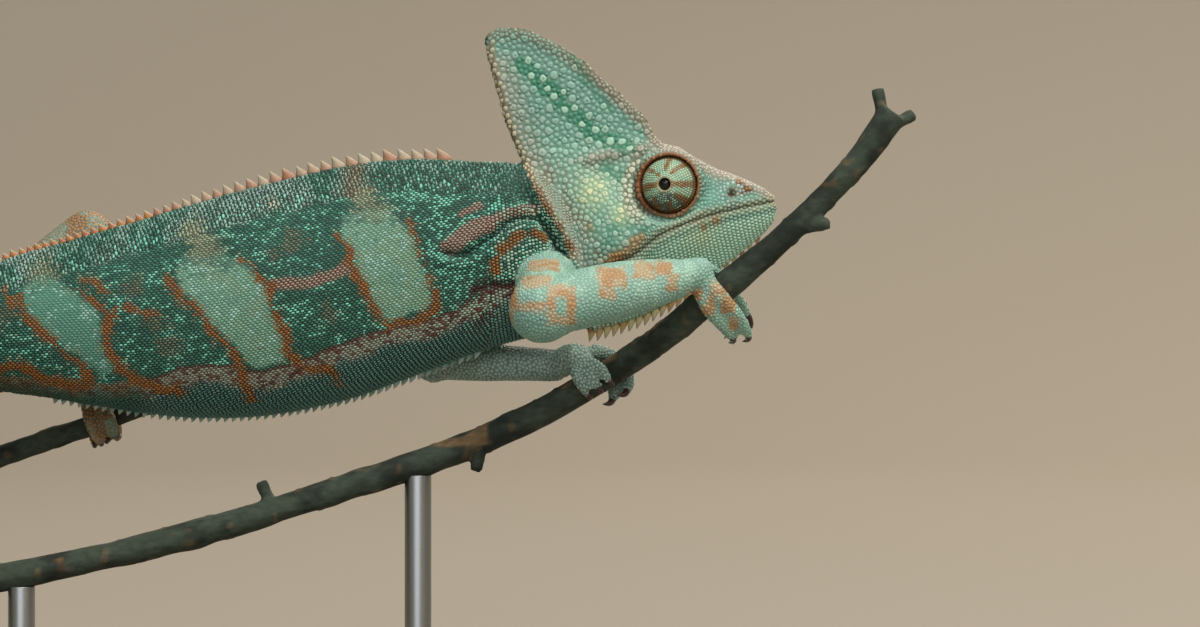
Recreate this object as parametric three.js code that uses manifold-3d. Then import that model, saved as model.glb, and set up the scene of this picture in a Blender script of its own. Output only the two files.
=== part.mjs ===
// An adult veiled chameleon, life size, gripping a cut length of branch held on a display stand.
// Millimetres. +X is the way the animal faces, +Y is its left, +Z is up, and the stand's underside is at z = 0.
// The animal is flattened from side to side, so its head and trunk are lofts of upright sections along X, and
// its limbs, toes, tail and branch are tubes along smooth curves. Neighbouring solids are parted by a small gap.
import * as THREE from "three";
import { mergeVertices } from "three/addons/utils/BufferGeometryUtils.js";
import Module from "manifold-3d";

const wasm = await Module();
wasm.setup();

// ---------------------------------------------------------------- driving dimensions
const GAP = 0.3; // clearance between neighbouring solids
const MODEL_X = 25.7; // from the animal's own origin, below its shoulders, to the middle of the stand
const BRANCH_RADIUS = 3.3;
const SHOOT_RADIUS = 2.6;
const EYE = { x: 59.6, z: 147.9, depth: 6.4, radius: 6.2, height: 5.4, turnBack: 13, pupil: 1.25 };
const COIL = { x: -139, y: -12, z: 54, outer: 22.5, inner: 5.2, start: 160, turns: 1.7 };
const BASE = { length: 240, width: 96, height: 12, corner: 14 };
const ROD = { radius: 3, places: [-84, 4], collar: 6.9, collarHeight: 1.3 };

// ---------------------------------------------------------------- materials
const material = (color, roughness, metalness = 0) =>
  new THREE.MeshStandardMaterial({ color, roughness, metalness });
const skinTurquoise = material(0x4f9484, 0.6);
const skinPale = material(0x8fb8a2, 0.62);
const lidAqua = material(0x86b3a4, 0.6);
const eyeDark = material(0x0c1110, 0.12);
const bark = material(0x4a4a3d, 0.85);
const baseWood = material(0x4a3527, 0.5);
const rodSteel = material(0x8d9092, 0.35, 1);

// ---------------------------------------------------------------- small tools
const vec = (x, y, z) => new THREE.Vector3(x, y, z);
const radians = THREE.MathUtils.degToRad;
const lerp = THREE.MathUtils.lerp;
const smoothstep = THREE.MathUtils.smoothstep;
const bell = (distance, width) => Math.exp(-((distance / width) ** 2));

// A smooth function of x through rows [x, value, value, ...], sorted by x. It gives the row's values at x.
function smoothRows(rows) {
  const slope = (i, k) => {
    const before = rows[Math.max(i - 1, 0)];
    const after = rows[Math.min(i + 1, rows.length - 1)];
    return (after[k] - before[k]) / (after[0] - before[0]);
  };
  return (x) => {
    const inside = Math.min(Math.max(x, rows[0][0]), rows.at(-1)[0]);
    const i = Math.min(rows.findLastIndex((row) => row[0] <= inside), rows.length - 2);
    const span = rows[i + 1][0] - rows[i][0];
    const t = (inside - rows[i][0]) / span;
    return rows[i].slice(1).map((value, n) => {
      const k = n + 1;
      const start = value * (1 + 2 * t) * (1 - t) ** 2 + slope(i, k) * span * t * (1 - t) ** 2;
      return start + rows[i + 1][k] * t * t * (3 - 2 * t) + slope(i + 1, k) * span * t * t * (t - 1);
    });
  };
}

// A closed three.js geometry as a solid that can be joined and cut, and back again.
function solid(geometry) {
  const bare = geometry.clone();
  bare.deleteAttribute("normal");
  bare.deleteAttribute("uv");
  const merged = mergeVertices(bare, 1e-4);
  const mesh = () =>
    new wasm.Mesh({
      numProp: 3,
      vertProperties: new Float32Array(merged.attributes.position.array),
      triVerts: new Uint32Array(merged.index.array),
    });
  const made = new wasm.Manifold(mesh());
  if (made.volume() > 0) return made;
  merged.index.array.reverse(); // its faces pointed inwards
  return new wasm.Manifold(mesh());
}

function geometryOf(manifold) {
  const mesh = manifold.getMesh();
  const geometry = new THREE.BufferGeometry();
  geometry.setAttribute("position", new THREE.BufferAttribute(mesh.vertProperties, 3));
  geometry.setIndex(new THREE.BufferAttribute(mesh.triVerts, 1));
  geometry.computeVertexNormals();
  return geometry;
}

const joined = (solids) => solids.reduce((all, next) => all.add(next));

// A closed solid through rings of points that all have the same number of points.
function loft(rings) {
  const sides = rings[0].length;
  const points = rings.flat();
  const faces = [];
  for (let i = 0; i + 1 < rings.length; i++)
    for (let j = 0; j < sides; j++) {
      const a = i * sides + j;
      const b = i * sides + ((j + 1) % sides);
      faces.push(a, b, b + sides, a, b + sides, a + sides);
    }
  for (const [first, atStart] of [[0, true], [(rings.length - 1) * sides, false]]) {
    const centre = points.length;
    const middle = vec(0, 0, 0);
    for (let j = 0; j < sides; j++) middle.add(points[first + j]);
    points.push(middle.divideScalar(sides));
    for (let j = 0; j < sides; j++) {
      const a = first + j;
      const b = first + ((j + 1) % sides);
      if (atStart) faces.push(centre, b, a);
      else faces.push(centre, a, b);
    }
  }
  const geometry = new THREE.BufferGeometry().setFromPoints(points);
  geometry.setIndex(faces);
  return solid(geometry);
}

const smoothCurve = (points) => new THREE.CatmullRomCurve3(points.map((p) => vec(...p)), false, "centripetal");

// A round tube along a smooth curve through points [x, y, z]. Its radii are spread evenly along it. Each end is
// flat, or a dome that is `domes` radii tall. `from` and `to` keep only that share of its length.
function tube(points, radii, { sides = 8, steps = 5, domes = [0.9, 0.9], grow = 0, from = 0, to = 1 } = {}) {
  const curve = smoothCurve(points);
  const radiusAt = smoothRows(radii.map((r, i) => [i / (radii.length - 1), r]));
  const frameCount = steps * 40;
  const frames = curve.computeFrenetFrames(frameCount);
  const ring = (s, along, share) => {
    const u = lerp(from, to, s);
    const k = Math.round(u * frameCount);
    const radius = radiusAt(u)[0] + grow;
    const centre = curve.getPointAt(u).addScaledVector(curve.getTangentAt(u), along * radius);
    return Array.from({ length: sides }, (_, j) => {
      const angle = (2 * Math.PI * j) / sides;
      const p = centre.clone().addScaledVector(frames.normals[k], radius * share * Math.cos(angle));
      return p.addScaledVector(frames.binormals[k], radius * share * Math.sin(angle));
    });
  };
  const domeAngles = [68, 34].map(radians);
  const rings = [];
  if (domes[0] > 0) for (const a of domeAngles) rings.push(ring(0, -domes[0] * Math.sin(a), Math.cos(a)));
  for (let i = 0; i <= steps; i++) rings.push(ring(i / steps, 0, 1));
  domeAngles.reverse();
  if (domes[1] > 0) for (const a of domeAngles) rings.push(ring(1, domes[1] * Math.sin(a), Math.cos(a)));
  return loft(rings);
}

// A small four-sided spine at `place`, pointing along `direction` in the animal's middle plane. Its foot is
// sunk by half of its height.
function spine(place, direction, height, foot) {
  const cone = new THREE.ConeGeometry(foot, height * 1.5, 4);
  cone.translate(0, height * 0.25, 0);
  cone.scale(1, 1, 0.6);
  const up = direction.clone().normalize();
  const along = vec(up.z, 0, -up.x);
  cone.applyMatrix4(new THREE.Matrix4().makeBasis(along, up, along.clone().cross(up)));
  cone.translate(place.x, place.y, place.z);
  return solid(cone);
}

// ---------------------------------------------------------------- trunk and neck
// x, height of the back, height of the belly, half width
const trunkRows = smoothRows([
  [-112, 118.6, 103.4, 6.8],
  [-104, 123.6, 102.9, 8.0],
  [-90, 131.2, 102.0, 9.6],
  [-74, 136.0, 99.9, 11.4],
  [-58, 140.6, 97.3, 13.0],
  [-44, 144.9, 96.1, 13.9],
  [-28, 149.2, 97.0, 13.8],
  [-12, 152.8, 100.2, 12.8],
  [2, 154.3, 105.0, 11.4],
  [16, 153.9, 110.2, 10.0],
  [28, 152.6, 113.8, 9.2],
  [36, 146.0, 115.2, 8.4],
  [45, 137.0, 119.5, 7.0],
]);
const KEEL = { back: 1.3, belly: 1.1 }; // over 1 draws the section to a keel
const TRUNK_SIDES = 16;

function trunkRing(x, grow) {
  const [top, bottom, half] = trunkRows(x);
  const middle = (top + bottom) / 2;
  const tall = (top - bottom) / 2 + grow;
  return Array.from({ length: TRUNK_SIDES }, (_, j) => {
    const angle = (2 * Math.PI * j) / TRUNK_SIDES;
    const keel = Math.cos(angle) > 0 ? KEEL.back : KEEL.belly;
    const out = Math.abs(Math.sin(angle)) ** keel * Math.sign(Math.sin(angle));
    return vec(x, (half + grow) * out, middle + tall * Math.cos(angle));
  });
}

function trunkLength(from, to, steps, grow = 0) {
  return loft(Array.from({ length: steps + 1 }, (_, i) => trunkRing(lerp(from, to, i / steps), grow)));
}

// Spines stand along the back, tallest over the shoulders, and smaller ones hang along the belly.
function backSpines(from, to) {
  const made = [];
  for (let x = from; x < to; ) {
    const forward = smoothstep(x, -95, 0);
    made.push(spine(vec(x, 0, trunkRows(x)[0]), vec(-0.35, 0, 1), lerp(0.9, 2.5, forward), 1.15));
    x += lerp(2.2, 2.7, forward);
  }
  return made;
}

function bellySpines(from, to) {
  const made = [];
  for (let x = from; x < to; x += 3.6)
    made.push(spine(vec(x, 0, trunkRows(x)[1]), vec(-0.3, 0, -1), 1.3, 0.9));
  return made;
}

// ---------------------------------------------------------------- head
const HEAD = { front: 83.9, blade: 1.35, sides: 18 }; // blade: half thickness of the casque's edge
// x, height of the crown and casque, height of the casque's rear edge and then of the throat
const headRows = smoothRows([
  [19.2, 180.6, 177.6],
  [20.5, 182.5, 172.4],
  [23.5, 183.5, 161.8],
  [27.5, 183.1, 152.2],
  [31.4, 181.5, 144.1],
  [35.4, 179.5, 137.9],
  [38.2, 177.7, 130.4],
  [39.8, 176.6, 120.4],
  [41.6, 175.2, 115.8],
  [46.5, 170.8, 116.2],
  [50.5, 167.0, 117.4],
  [54.0, 163.7, 118.6],
  [56.4, 159.3, 119.7],
  [58.2, 157.6, 120.6],
  [62.3, 156.6, 122.7],
  [68.3, 152.8, 127.0],
  [73.9, 150.9, 131.2],
  [78.8, 148.8, 135.2],
  [82.0, 146.9, 138.3],
  [83.9, 144.9, 141.4],
]);
// x, how far the cheek, jaw and muzzle bulge out beside the thin blade of the casque
const cheekRows = smoothRows([
  [19, 0.0],
  [27, 0.8],
  [34, 3.8],
  [39, 7.2],
  [46, 9.2],
  [54, 9.1],
  [61, 8.1],
  [68, 6.6],
  [75, 5.1],
  [80, 3.6],
  [83.9, 1.6],
]);
// x, height of the mouth line, from behind the corner of the mouth to the tip of the muzzle
const mouthRows = smoothRows([
  [34, 127.0],
  [40, 127.8],
  [45.4, 129.7],
  [51.5, 132.3],
  [57.6, 136.4],
  [62.3, 138.6],
  [69.3, 140.8],
  [84, 143.9],
]);

function headHalfWidth(x, z) {
  const widest = mouthRows(x)[0] + 3;
  const rise = z > widest ? lerp(15, 19, smoothstep(x, 60, 70)) : 14;
  const brow = 2.4 * bell(x - 61.5, 7) * bell(z - 154.2, 3.2);
  return HEAD.blade + cheekRows(x)[0] * bell(z - widest, rise) + brow;
}

function headRing(x, grow) {
  const [top, bottom] = headRows(x);
  const middle = (top + bottom) / 2;
  const tall = (top - bottom) / 2 + grow;
  return Array.from({ length: HEAD.sides }, (_, j) => {
    const angle = (2 * Math.PI * j) / HEAD.sides;
    const z = middle + tall * Math.cos(angle);
    const out = Math.abs(Math.sin(angle)) ** 0.7 * Math.sign(Math.sin(angle));
    return vec(x, (headHalfWidth(x, z) + grow) * out, z);
  });
}

function wholeHead(grow = 0) {
  const stations = [19.2, 20, 22, 25.5, 30, 34.5, 38, 39.7, 41.6, 47, 52, 55.2, 57.4, 62, 67, 72, 77, 80.5, 82.4];
  const tip = headRing(HEAD.front - 0.2, grow).map((p) => p.lerp(vec(p.x, 0, 143), 0.35));
  return loft([...stations.map((x) => headRing(x, grow)), tip]);
}

// Everything under the mouth line, as a slab across the head: its top follows the line, moved by `lift`.
function underMouth(lift) {
  const shape = new THREE.Shape();
  shape.moveTo(10, 90);
  shape.lineTo(10, mouthRows(34)[0] + lift);
  for (let x = 34; x <= 84; x += 5) shape.lineTo(x, mouthRows(x)[0] + lift);
  shape.lineTo(95, mouthRows(84)[0] + lift + 2);
  shape.lineTo(95, 90);
  const slab = new THREE.ExtrudeGeometry(shape, { depth: 60, bevelEnabled: false });
  slab.rotateX(Math.PI / 2); // the shape's y becomes z
  slab.translate(0, 30, 0);
  return solid(slab);
}

function throatSpines() {
  const made = [];
  for (let x = 42.6; x < 80; x += 2.6) {
    const height = lerp(2.4, 1.0, smoothstep(x, 52, 78));
    made.push(spine(vec(x, 0, headRows(x)[1]), vec(-0.1, 0, -1), height, 0.95));
  }
  return made;
}

// The eye is a scaly turret with a small round opening, and the eyeball shows only in that opening.
function eyeSolid(profile, side) {
  const points = profile.map(([r, h]) => new THREE.Vector2(r, h));
  const lathe = new THREE.LatheGeometry(points, 14);
  if (side < 0) lathe.rotateX(Math.PI); // its axis points out sideways
  lathe.rotateZ(side * radians(EYE.turnBack));
  lathe.translate(EYE.x, side * EYE.depth, EYE.z);
  return solid(lathe);
}

const turretOutside = (grow) => [
  [0, -4 - grow],
  [EYE.radius * 0.92 + grow, -4 - grow],
  [EYE.radius + grow, 0],
  [EYE.radius * 0.95 + grow, EYE.height * 0.3 + grow],
  [EYE.radius * 0.77 + grow, EYE.height * 0.62 + grow],
  [EYE.radius * 0.48 + grow, EYE.height * 0.89 + grow],
];
const ring = (side) => {
  const [inner, outer] = [EYE.radius + GAP + 0.1, EYE.radius + 1.25];
  return eyeSolid([[inner, -3], [outer, -3], [outer - 0.2, 1.2], [inner, 1.2], [inner, -3]], side);
};
const OPENING = 2.2; // how deep the turret's opening goes
const turret = (side) => {
  const rim = EYE.pupil + GAP;
  const opening = [[rim, EYE.height], [rim, EYE.height - OPENING], [0, EYE.height - OPENING]];
  return eyeSolid([...turretOutside(0), ...opening], side);
};
const turretSocket = (side) => eyeSolid([...turretOutside(GAP), [0, EYE.height + GAP]], side);
const eyeball = (side) => {
  const foot = EYE.height - OPENING + GAP;
  const ball = [[0, foot], [EYE.pupil, foot], [EYE.pupil, EYE.height - 0.7], [EYE.pupil * 0.6, EYE.height - 0.25]];
  return eyeSolid([...ball, [0, EYE.height - 0.1]], side);
};

// ---------------------------------------------------------------- branch
const stemCurve = smoothCurve([
  [-140, 2, 54.5],
  [-122, 1, 56],
  [-88, 0, 61],
  [-44, 0, 71],
  [-7, 0, 82.6],
  [11, 0, 88.6],
  [22, 0, 93.2],
  [35, -0.5, 99.6],
  [44.5, -1.8, 105.2],
  [56, -5.5, 112.8],
  [66, -10, 120.8],
  [72, -12.2, 125.7],
  [80, -14, 132.4],
  [88, -15.4, 139.6],
  [101, -17.4, 153.4],
  [108, -18.4, 163.2],
]);
// A side shoot forks off the stem on the far side, and ends cut behind the belly.
const shootCurve = smoothCurve([
  [-134, 2, 57.6],
  [-126, 6, 66],
  [-113, 12, 78],
  [-92, 17, 87],
  [-72, 18.5, 94],
  [-56, 18.5, 99.5],
]);

// The point and direction of a curve at a given x.
function curveAt(curve, x) {
  let low = 0;
  let high = 1;
  for (let i = 0; i < 24; i++) {
    const half = (low + high) / 2;
    if (curve.getPointAt(half).x < x) low = half;
    else high = half;
  }
  return { centre: curve.getPointAt(low), along: curve.getTangentAt(low) };
}

// Cut petiole stubs on the stem: where along x, and how far the stub reaches.
const stubs = [
  [-28, [-3, 1, 6.5]],
  [18, [-1, -3, -6.5]],
  [86, [8, -3, 1.5]],
  [105, [7.5, 1, 4]],
  [106, [-1.5, 0, 8]],
];

const pointsOf = (curve) => curve.points.map((p) => p.toArray());

function stemSolid(grow = 0) {
  const swell = [-0.2, 0.1, -0.2, 0.1, -0.2, 0.1, -0.3, -0.1, 0, 0.1, 0, 0, 0.2, -0.3, -0.4, 0.2];
  const radii = swell.map((more) => BRANCH_RADIUS + more);
  const stem = tube(pointsOf(stemCurve), radii, { sides: 7, steps: 20, domes: [0, 0], grow });
  const stub = ([x, reach]) => {
    const { centre } = curveAt(stemCurve, x);
    const tip = centre.clone().add(vec(...reach));
    return tube([centre.toArray(), tip.toArray()], [1.7, 1.3], { sides: 5, steps: 1, domes: [0, 0], grow });
  };
  return joined([stem, ...stubs.map(stub)]);
}

const shootSolid = () =>
  tube(pointsOf(shootCurve), [3, SHOOT_RADIUS, SHOOT_RADIUS, 2.4], { sides: 7, steps: 7, domes: [0, 0] });

// ---------------------------------------------------------------- limbs
// Each limb: its names from the body outwards, its joints, the radii of its two segments, and its grip. A grip
// has the curve that it holds and that curve's radius, the place along x, the palm's lean in degrees towards +Y
// and its radius. For the near side (-Y) and the far side it has how many toes close there, how far along the
// branch they stand, how far round it they wrap in degrees, how far each hangs past it, how far along it their
// tips are swept, and what share of their spacing is left at the tips.
const limbs = [
  {
    names: ["upper_arm_right", "forearm_right", "hand_right"],
    root: [33, -5, 127], elbow: [32.2, -29.5, 120.4], wrist: [61.5, -18, 127.2],
    upper: [7.2, 6.9, 7.7], lower: [6.4, 6.8, 6.3, 4.7], bend: 0.5,
    grip: {
      curve: stemCurve, held: BRANCH_RADIUS, x: 70.0, lean: -38, palm: 4.0,
      near: { toes: 2, along: 0.1, wrap: 97, hang: [6.6, 8.8], rake: -4.6, squeeze: 0.6 },
      far: { toes: 3, along: -0.4, wrap: 128, hang: [8.0, 9.4, 10.8], rake: -5, squeeze: 0.7 },
    },
  },
  {
    names: ["upper_arm_left", "forearm_left", "hand_left"],
    root: [30, 5, 127], elbow: [6.5, 14.5, 109.2], wrist: [35, 4, 108],
    upper: [6.6, 5.6, 5.8], lower: [4.8, 4.8, 4.4, 4.0], bend: 0,
    grip: {
      curve: stemCurve, held: BRANCH_RADIUS, x: 41.8, lean: -14, palm: 3.8,
      near: { toes: 3, along: 2.3, wrap: 88, hang: [0, 0, 0], rake: 0.6 },
      far: { toes: 2, along: 6.5, wrap: 150, hang: [0, 0], rake: -4 },
    },
  },
  {
    names: ["thigh_right", "shank_right", "foot_right"],
    root: [-100, -3, 117], elbow: [-97.5, -31.5, 104.5], wrist: [-108.5, -7.5, 72.5],
    upper: [8.2, 7.4, 6.6], lower: [5.4, 5.8, 4.9, 4.0], bend: 0,
    grip: {
      curve: stemCurve, held: BRANCH_RADIUS, x: -107, lean: -16, palm: 4.0,
      near: { toes: 3, along: 0, wrap: 138, hang: [0, 0, 0], rake: 0 },
      far: { toes: 2, along: 1, wrap: 142, hang: [0, 0], rake: 0 },
    },
  },
  {
    names: ["thigh_left", "shank_left", "foot_left"],
    root: [-99, 3, 112.5], elbow: [-71.8, 18.5, 137.2], wrist: [-71.4, 18.8, 107.6],
    upper: [7.4, 6.8, 6.6], lower: [5.4, 5.8, 4.9, 4.0], bend: 0,
    grip: {
      curve: shootCurve, held: SHOOT_RADIUS, x: -69.5, lean: 8, palm: 3.9,
      near: { toes: 2, along: 1, wrap: 142, hang: [0, 0], rake: 0 },
      far: { toes: 3, along: 0, wrap: 142, hang: [0, 0, 0], rake: 0 },
    },
  },
];

const upperSegment = ({ root, elbow, upper }, grow = 0) => tube([root, elbow], upper, { steps: 3, grow });

function lowerSegment({ elbow, wrist, lower, bend }, grow = 0) {
  const middle = elbow.map((value, i) => (value + wrist[i]) / 2 + (i === 2 ? bend : 0));
  return tube([elbow, middle, wrist], lower, { steps: 4, grow, domes: [0.5, 0.6] });
}

// Two bundles of toes close round a branch like tongs. Angles run round the branch, starting from the palm.
function gripSolid({ grip, wrist }) {
  const { centre, along } = curveAt(grip.curve, grip.x);
  const up = vec(0, Math.sin(radians(grip.lean)), Math.cos(radians(grip.lean)));
  up.addScaledVector(along, -up.dot(along)).normalize();
  const nearWay = along.clone().cross(up).normalize();
  const at = (offset, degrees, distance, drop = 0) =>
    centre.clone()
      .addScaledVector(along, offset)
      .addScaledVector(up, distance * Math.cos(radians(degrees)) - drop)
      .addScaledVector(nearWay, distance * Math.sin(radians(degrees)))
      .toArray();
  const palmHeight = grip.held + grip.palm + GAP;
  const palm = [wrist, at(1.6, 0, palmHeight)];
  const solids = [tube(palm, [grip.palm * 0.88, grip.palm, grip.palm * 0.85], { steps: 3, domes: [0.3, 0.9] })];
  for (const [bundle, sign] of [[grip.near, 1], [grip.far, -1]])
    for (let k = 0; k < bundle.toes; k++) {
      const radius = bundle.toes === 3 ? 1.65 : 2.15;
      const aside = (k - (bundle.toes - 1) / 2) * radius * 1.75;
      const ringAt = grip.held + radius + GAP + 0.2;
      const path = [0.12, 0.4, 0.7, 0.95, 1.08, 1.18, 1.26].map((share, i) => {
        const closing = lerp(1, bundle.squeeze ?? 1, THREE.MathUtils.clamp((i - 2) / 4, 0, 1));
        const spread = bundle.along + aside * closing;
        const offset = lerp(spread * 0.6, spread, Math.min(i / 2, 1)) + bundle.rake * (i / 6) ** 2;
        const hookedIn = i === 6 ? 0.8 : 0;
        const drop = bundle.hang[k] * THREE.MathUtils.clamp((i - 1.9) / 2.6, 0, 1);
        return at(offset, sign * share * bundle.wrap, ringAt - hookedIn, drop);
      });
      const thickness = [1, 1, 1, 0.92, 0.62, 0.14].map((share) => share * radius);
      solids.push(tube(path, thickness, { sides: 5, steps: 5, domes: [0, 0] })); // a toe and its claw
    }
  return joined(solids);
}

// ---------------------------------------------------------------- tail
const tailPoints = [[-111, 0, 111], [-122, -0.5, 107], [-136, -2.5, 99], [-149, -6, 88], [-158.5, -9.5, 74.5]];
for (let i = 0; i <= 14; i++) {
  const t = i / 14;
  const angle = radians(COIL.start + 360 * COIL.turns * t);
  const radius = lerp(COIL.outer, COIL.inner, t);
  tailPoints.push([COIL.x + radius * Math.cos(angle), COIL.y - 2 * t, COIL.z + radius * Math.sin(angle)]);
}
const tailRadii = [7.3, 6.5, 5.8, 5.2, 4.7, 4.3, 3.9, 3.5, 3.1, 2.7, 2.3, 1.9, 1.4, 0.8];
const tailEnds = [0, 0.17, 0.37, 0.57, 0.78, 1]; // where the tail is parted, as shares of its length

function tailLength(from, to) {
  const halfGap = 0.0007; // as a share of the tail's length
  return tube(tailPoints, tailRadii, {
    sides: 8, steps: 7, from: from + halfGap, to: to - halfGap, domes: [0, to === 1 ? 0.8 : 0],
  });
}

// ---------------------------------------------------------------- stand
// height, and how far the outline stands in there, up the base's moulded edge: a plinth, a cove and a raised top
const MOULDING = [[0, 0], [4.2, 0], [4.8, 1.4], [6.6, 2.3], [9, 4.35], [9.6, 5.85], [9.9, 6.2], [11, 6.5], [11.5, 6.8]];

function baseSolid() {
  const { length, width, height, corner } = BASE;
  const ring = ([z, inset]) => {
    const [x, y, r] = [length / 2 - corner, width / 2 - corner, corner - inset];
    return [[x, y], [-x, y], [-x, -y], [x, -y]].flatMap(([cx, cy], quarter) =>
      [0, 1, 2, 3, 4].map((k) => {
        const angle = (quarter + k / 4) * (Math.PI / 2);
        return vec(cx + r * Math.cos(angle), cy + r * Math.sin(angle), z);
      }),
    );
  };
  return loft([...MOULDING, [height, 7.4]].map(ring));
}

function rodSolid(x) {
  const { centre } = curveAt(stemCurve, x);
  const bottom = BASE.height + GAP;
  const { radius, collar, collarHeight } = ROD;
  const profile = [[0, 0], [collar, 0], [collar, collarHeight], [radius, collarHeight + 1.4]];
  const points = [...profile, [radius, centre.z - bottom], [0, centre.z - bottom]];
  const rod = new THREE.LatheGeometry(points.map(([r, h]) => new THREE.Vector2(r, h)), 12);
  rod.rotateX(Math.PI / 2);
  rod.translate(centre.x, centre.y, bottom);
  return solid(rod).subtract(stemSolid(GAP));
}

// ---------------------------------------------------------------- assembly
const model = new THREE.Group();
const animal = new THREE.Group();
animal.position.x = MODEL_X;
model.add(animal);

function place(group, name, shape, finish) {
  const mesh = new THREE.Mesh(shape.isBufferGeometry ? shape : geometryOf(shape), finish);
  mesh.name = name;
  group.add(mesh);
}

// The eyes sit in sockets in the head, which is parted from the lower jaw along the mouth line.
const head = joined([wholeHead(), ring(-1), ring(1)]).subtract(turretSocket(-1)).subtract(turretSocket(1));
place(animal, "head", head.subtract(underMouth(GAP / 2)), skinPale);
place(animal, "lower_jaw", joined([head.intersect(underMouth(-GAP / 2)), ...throatSpines()]), skinPale);
for (const [side, label] of [[-1, "right"], [1, "left"]]) {
  place(animal, `eye_turret_${label}`, turret(side), lidAqua);
  place(animal, `eyeball_${label}`, eyeball(side), eyeDark);
}

// The neck and trunk, each length with its own spines. The neck stops where the head begins.
const grownHead = wholeHead(GAP);
const neck = trunkLength(20 + GAP / 2, 45, 6).subtract(grownHead);
place(animal, "neck", neck, skinTurquoise);
for (const [name, from, to, steps] of [["chest", -22, 20, 7], ["belly", -78, -22, 8], ["pelvis", -112, -78, 5]]) {
  const length = trunkLength(from + GAP / 2, to - GAP / 2, steps);
  const above = backSpines(from + 1.6, Math.min(to, 12) - 1.4);
  const below = name === "pelvis" ? [] : bellySpines(from + 1.6, to - 1.4);
  place(animal, name, joined([length, ...above, ...below]), skinTurquoise);
}

// Limbs are cut back from the trunk, and each segment from the one above it.
const grownBody = trunkLength(-112, 45, 28, GAP).add(grownHead);
for (const limb of limbs) {
  const [upperName, lowerName, handName] = limb.names;
  place(animal, upperName, upperSegment(limb).subtract(grownBody), skinTurquoise);
  place(animal, lowerName, lowerSegment(limb).subtract(upperSegment(limb, GAP)), skinPale);
  place(animal, handName, gripSolid(limb).subtract(lowerSegment(limb, GAP)), skinPale);
}

tailEnds.slice(0, -1).forEach((from, i) => {
  const length = tailLength(from, tailEnds[i + 1]);
  place(animal, `tail_${i + 1}`, i === 0 ? length.subtract(grownBody) : length, skinTurquoise);
});

place(animal, "perch_branch", stemSolid(), bark);
place(animal, "perch_shoot", shootSolid().subtract(stemSolid(GAP)), bark);
place(model, "stand_base", baseSolid(), baseWood);
ROD.places.forEach((x, i) => place(animal, `stand_rod_${i + 1}`, rodSolid(x), rodSteel));

export default model;
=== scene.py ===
"""A veiled chameleon, life size, gripping a cut length of branch that a display stand holds.

The animal is one skin with small joined scales over it. Its forms are worked out here in millimetres from the
animal's own origin, below its shoulders: +X is the way it faces, +Y is its left, +Z is up.
"""
import math
from functools import partial

import bmesh
import bpy
import numpy as np
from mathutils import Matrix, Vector
from mathutils.bvhtree import BVHTree
from mathutils.kdtree import KDTree


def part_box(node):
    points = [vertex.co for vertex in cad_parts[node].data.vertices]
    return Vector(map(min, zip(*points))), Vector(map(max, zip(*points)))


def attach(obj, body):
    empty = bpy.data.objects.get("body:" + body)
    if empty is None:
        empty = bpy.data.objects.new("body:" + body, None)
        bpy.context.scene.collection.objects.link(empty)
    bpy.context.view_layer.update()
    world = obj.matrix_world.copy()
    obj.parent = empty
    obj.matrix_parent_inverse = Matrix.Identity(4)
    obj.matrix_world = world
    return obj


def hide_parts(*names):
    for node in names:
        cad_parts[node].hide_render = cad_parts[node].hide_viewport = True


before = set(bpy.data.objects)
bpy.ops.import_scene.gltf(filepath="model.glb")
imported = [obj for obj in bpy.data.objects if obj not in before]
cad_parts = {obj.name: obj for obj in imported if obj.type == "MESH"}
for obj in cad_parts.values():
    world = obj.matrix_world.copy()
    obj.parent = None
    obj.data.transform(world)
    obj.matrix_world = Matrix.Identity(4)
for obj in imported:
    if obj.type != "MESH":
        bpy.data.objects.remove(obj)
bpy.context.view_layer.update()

# ------------------------------------------------------------ driving dimensions, in millimetres
MM = 0.001
MODEL_X = 25.7  # from the animal's own origin to the middle of the stand
COAT = 0.42  # how far the skin lies inside the outline, so that the scales reach it
VOXEL = 0.86  # fineness of the mesh in which the limbs and the trunk grow together
BRANCH_RADIUS = 3.3
SHOOT_RADIUS = 2.6
GRIP_GAP = 0.3
EYE = dict(x=59.6, z=147.9, depth=6.4, height=5.4, turn_back=math.radians(13), pupil=1.25, opening=2.2)
COIL = dict(x=-139, y=-12, z=54, outer=22.5, inner=5.2, start=160, turns=1.7)
ROD_RADIUS = 3

# x, height of the back, height of the belly, half width
TRUNK_ROWS = [
    (-112, 118.6, 103.4, 6.8), (-104, 123.6, 102.9, 8.0), (-90, 131.2, 102.0, 9.6), (-74, 136.0, 99.9, 11.4),
    (-58, 140.6, 97.3, 13.0), (-44, 144.9, 96.1, 13.9), (-28, 149.2, 97.0, 13.8), (-12, 152.8, 100.2, 12.8),
    (2, 154.3, 105.0, 11.4), (16, 153.9, 110.2, 10.0), (28, 152.6, 113.8, 9.2), (36, 146.0, 115.2, 8.4),
    (45, 137.0, 119.5, 7.0),
]
KEEL = dict(back=1.3, belly=1.1, head=0.7)  # over 1 draws the section to a keel

# x, height of the crown and casque, height of the casque's rear edge and then of the throat
HEAD_ROWS = [
    (19.2, 180.6, 177.6), (20.5, 182.5, 172.4), (23.5, 183.5, 161.8), (27.5, 183.1, 152.2),
    (31.4, 181.5, 144.1), (35.4, 179.5, 137.9), (38.2, 177.7, 130.4), (39.8, 176.6, 120.4),
    (41.6, 175.2, 115.8), (46.5, 170.8, 116.2), (50.5, 167.0, 117.4), (54.0, 163.7, 118.6),
    (56.4, 159.3, 119.7), (58.2, 157.6, 120.6), (62.3, 156.6, 122.7), (68.3, 152.8, 127.0),
    (73.9, 150.9, 131.2), (78.8, 148.8, 135.2), (82.0, 146.9, 138.3), (83.9, 144.9, 141.4),
]
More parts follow.
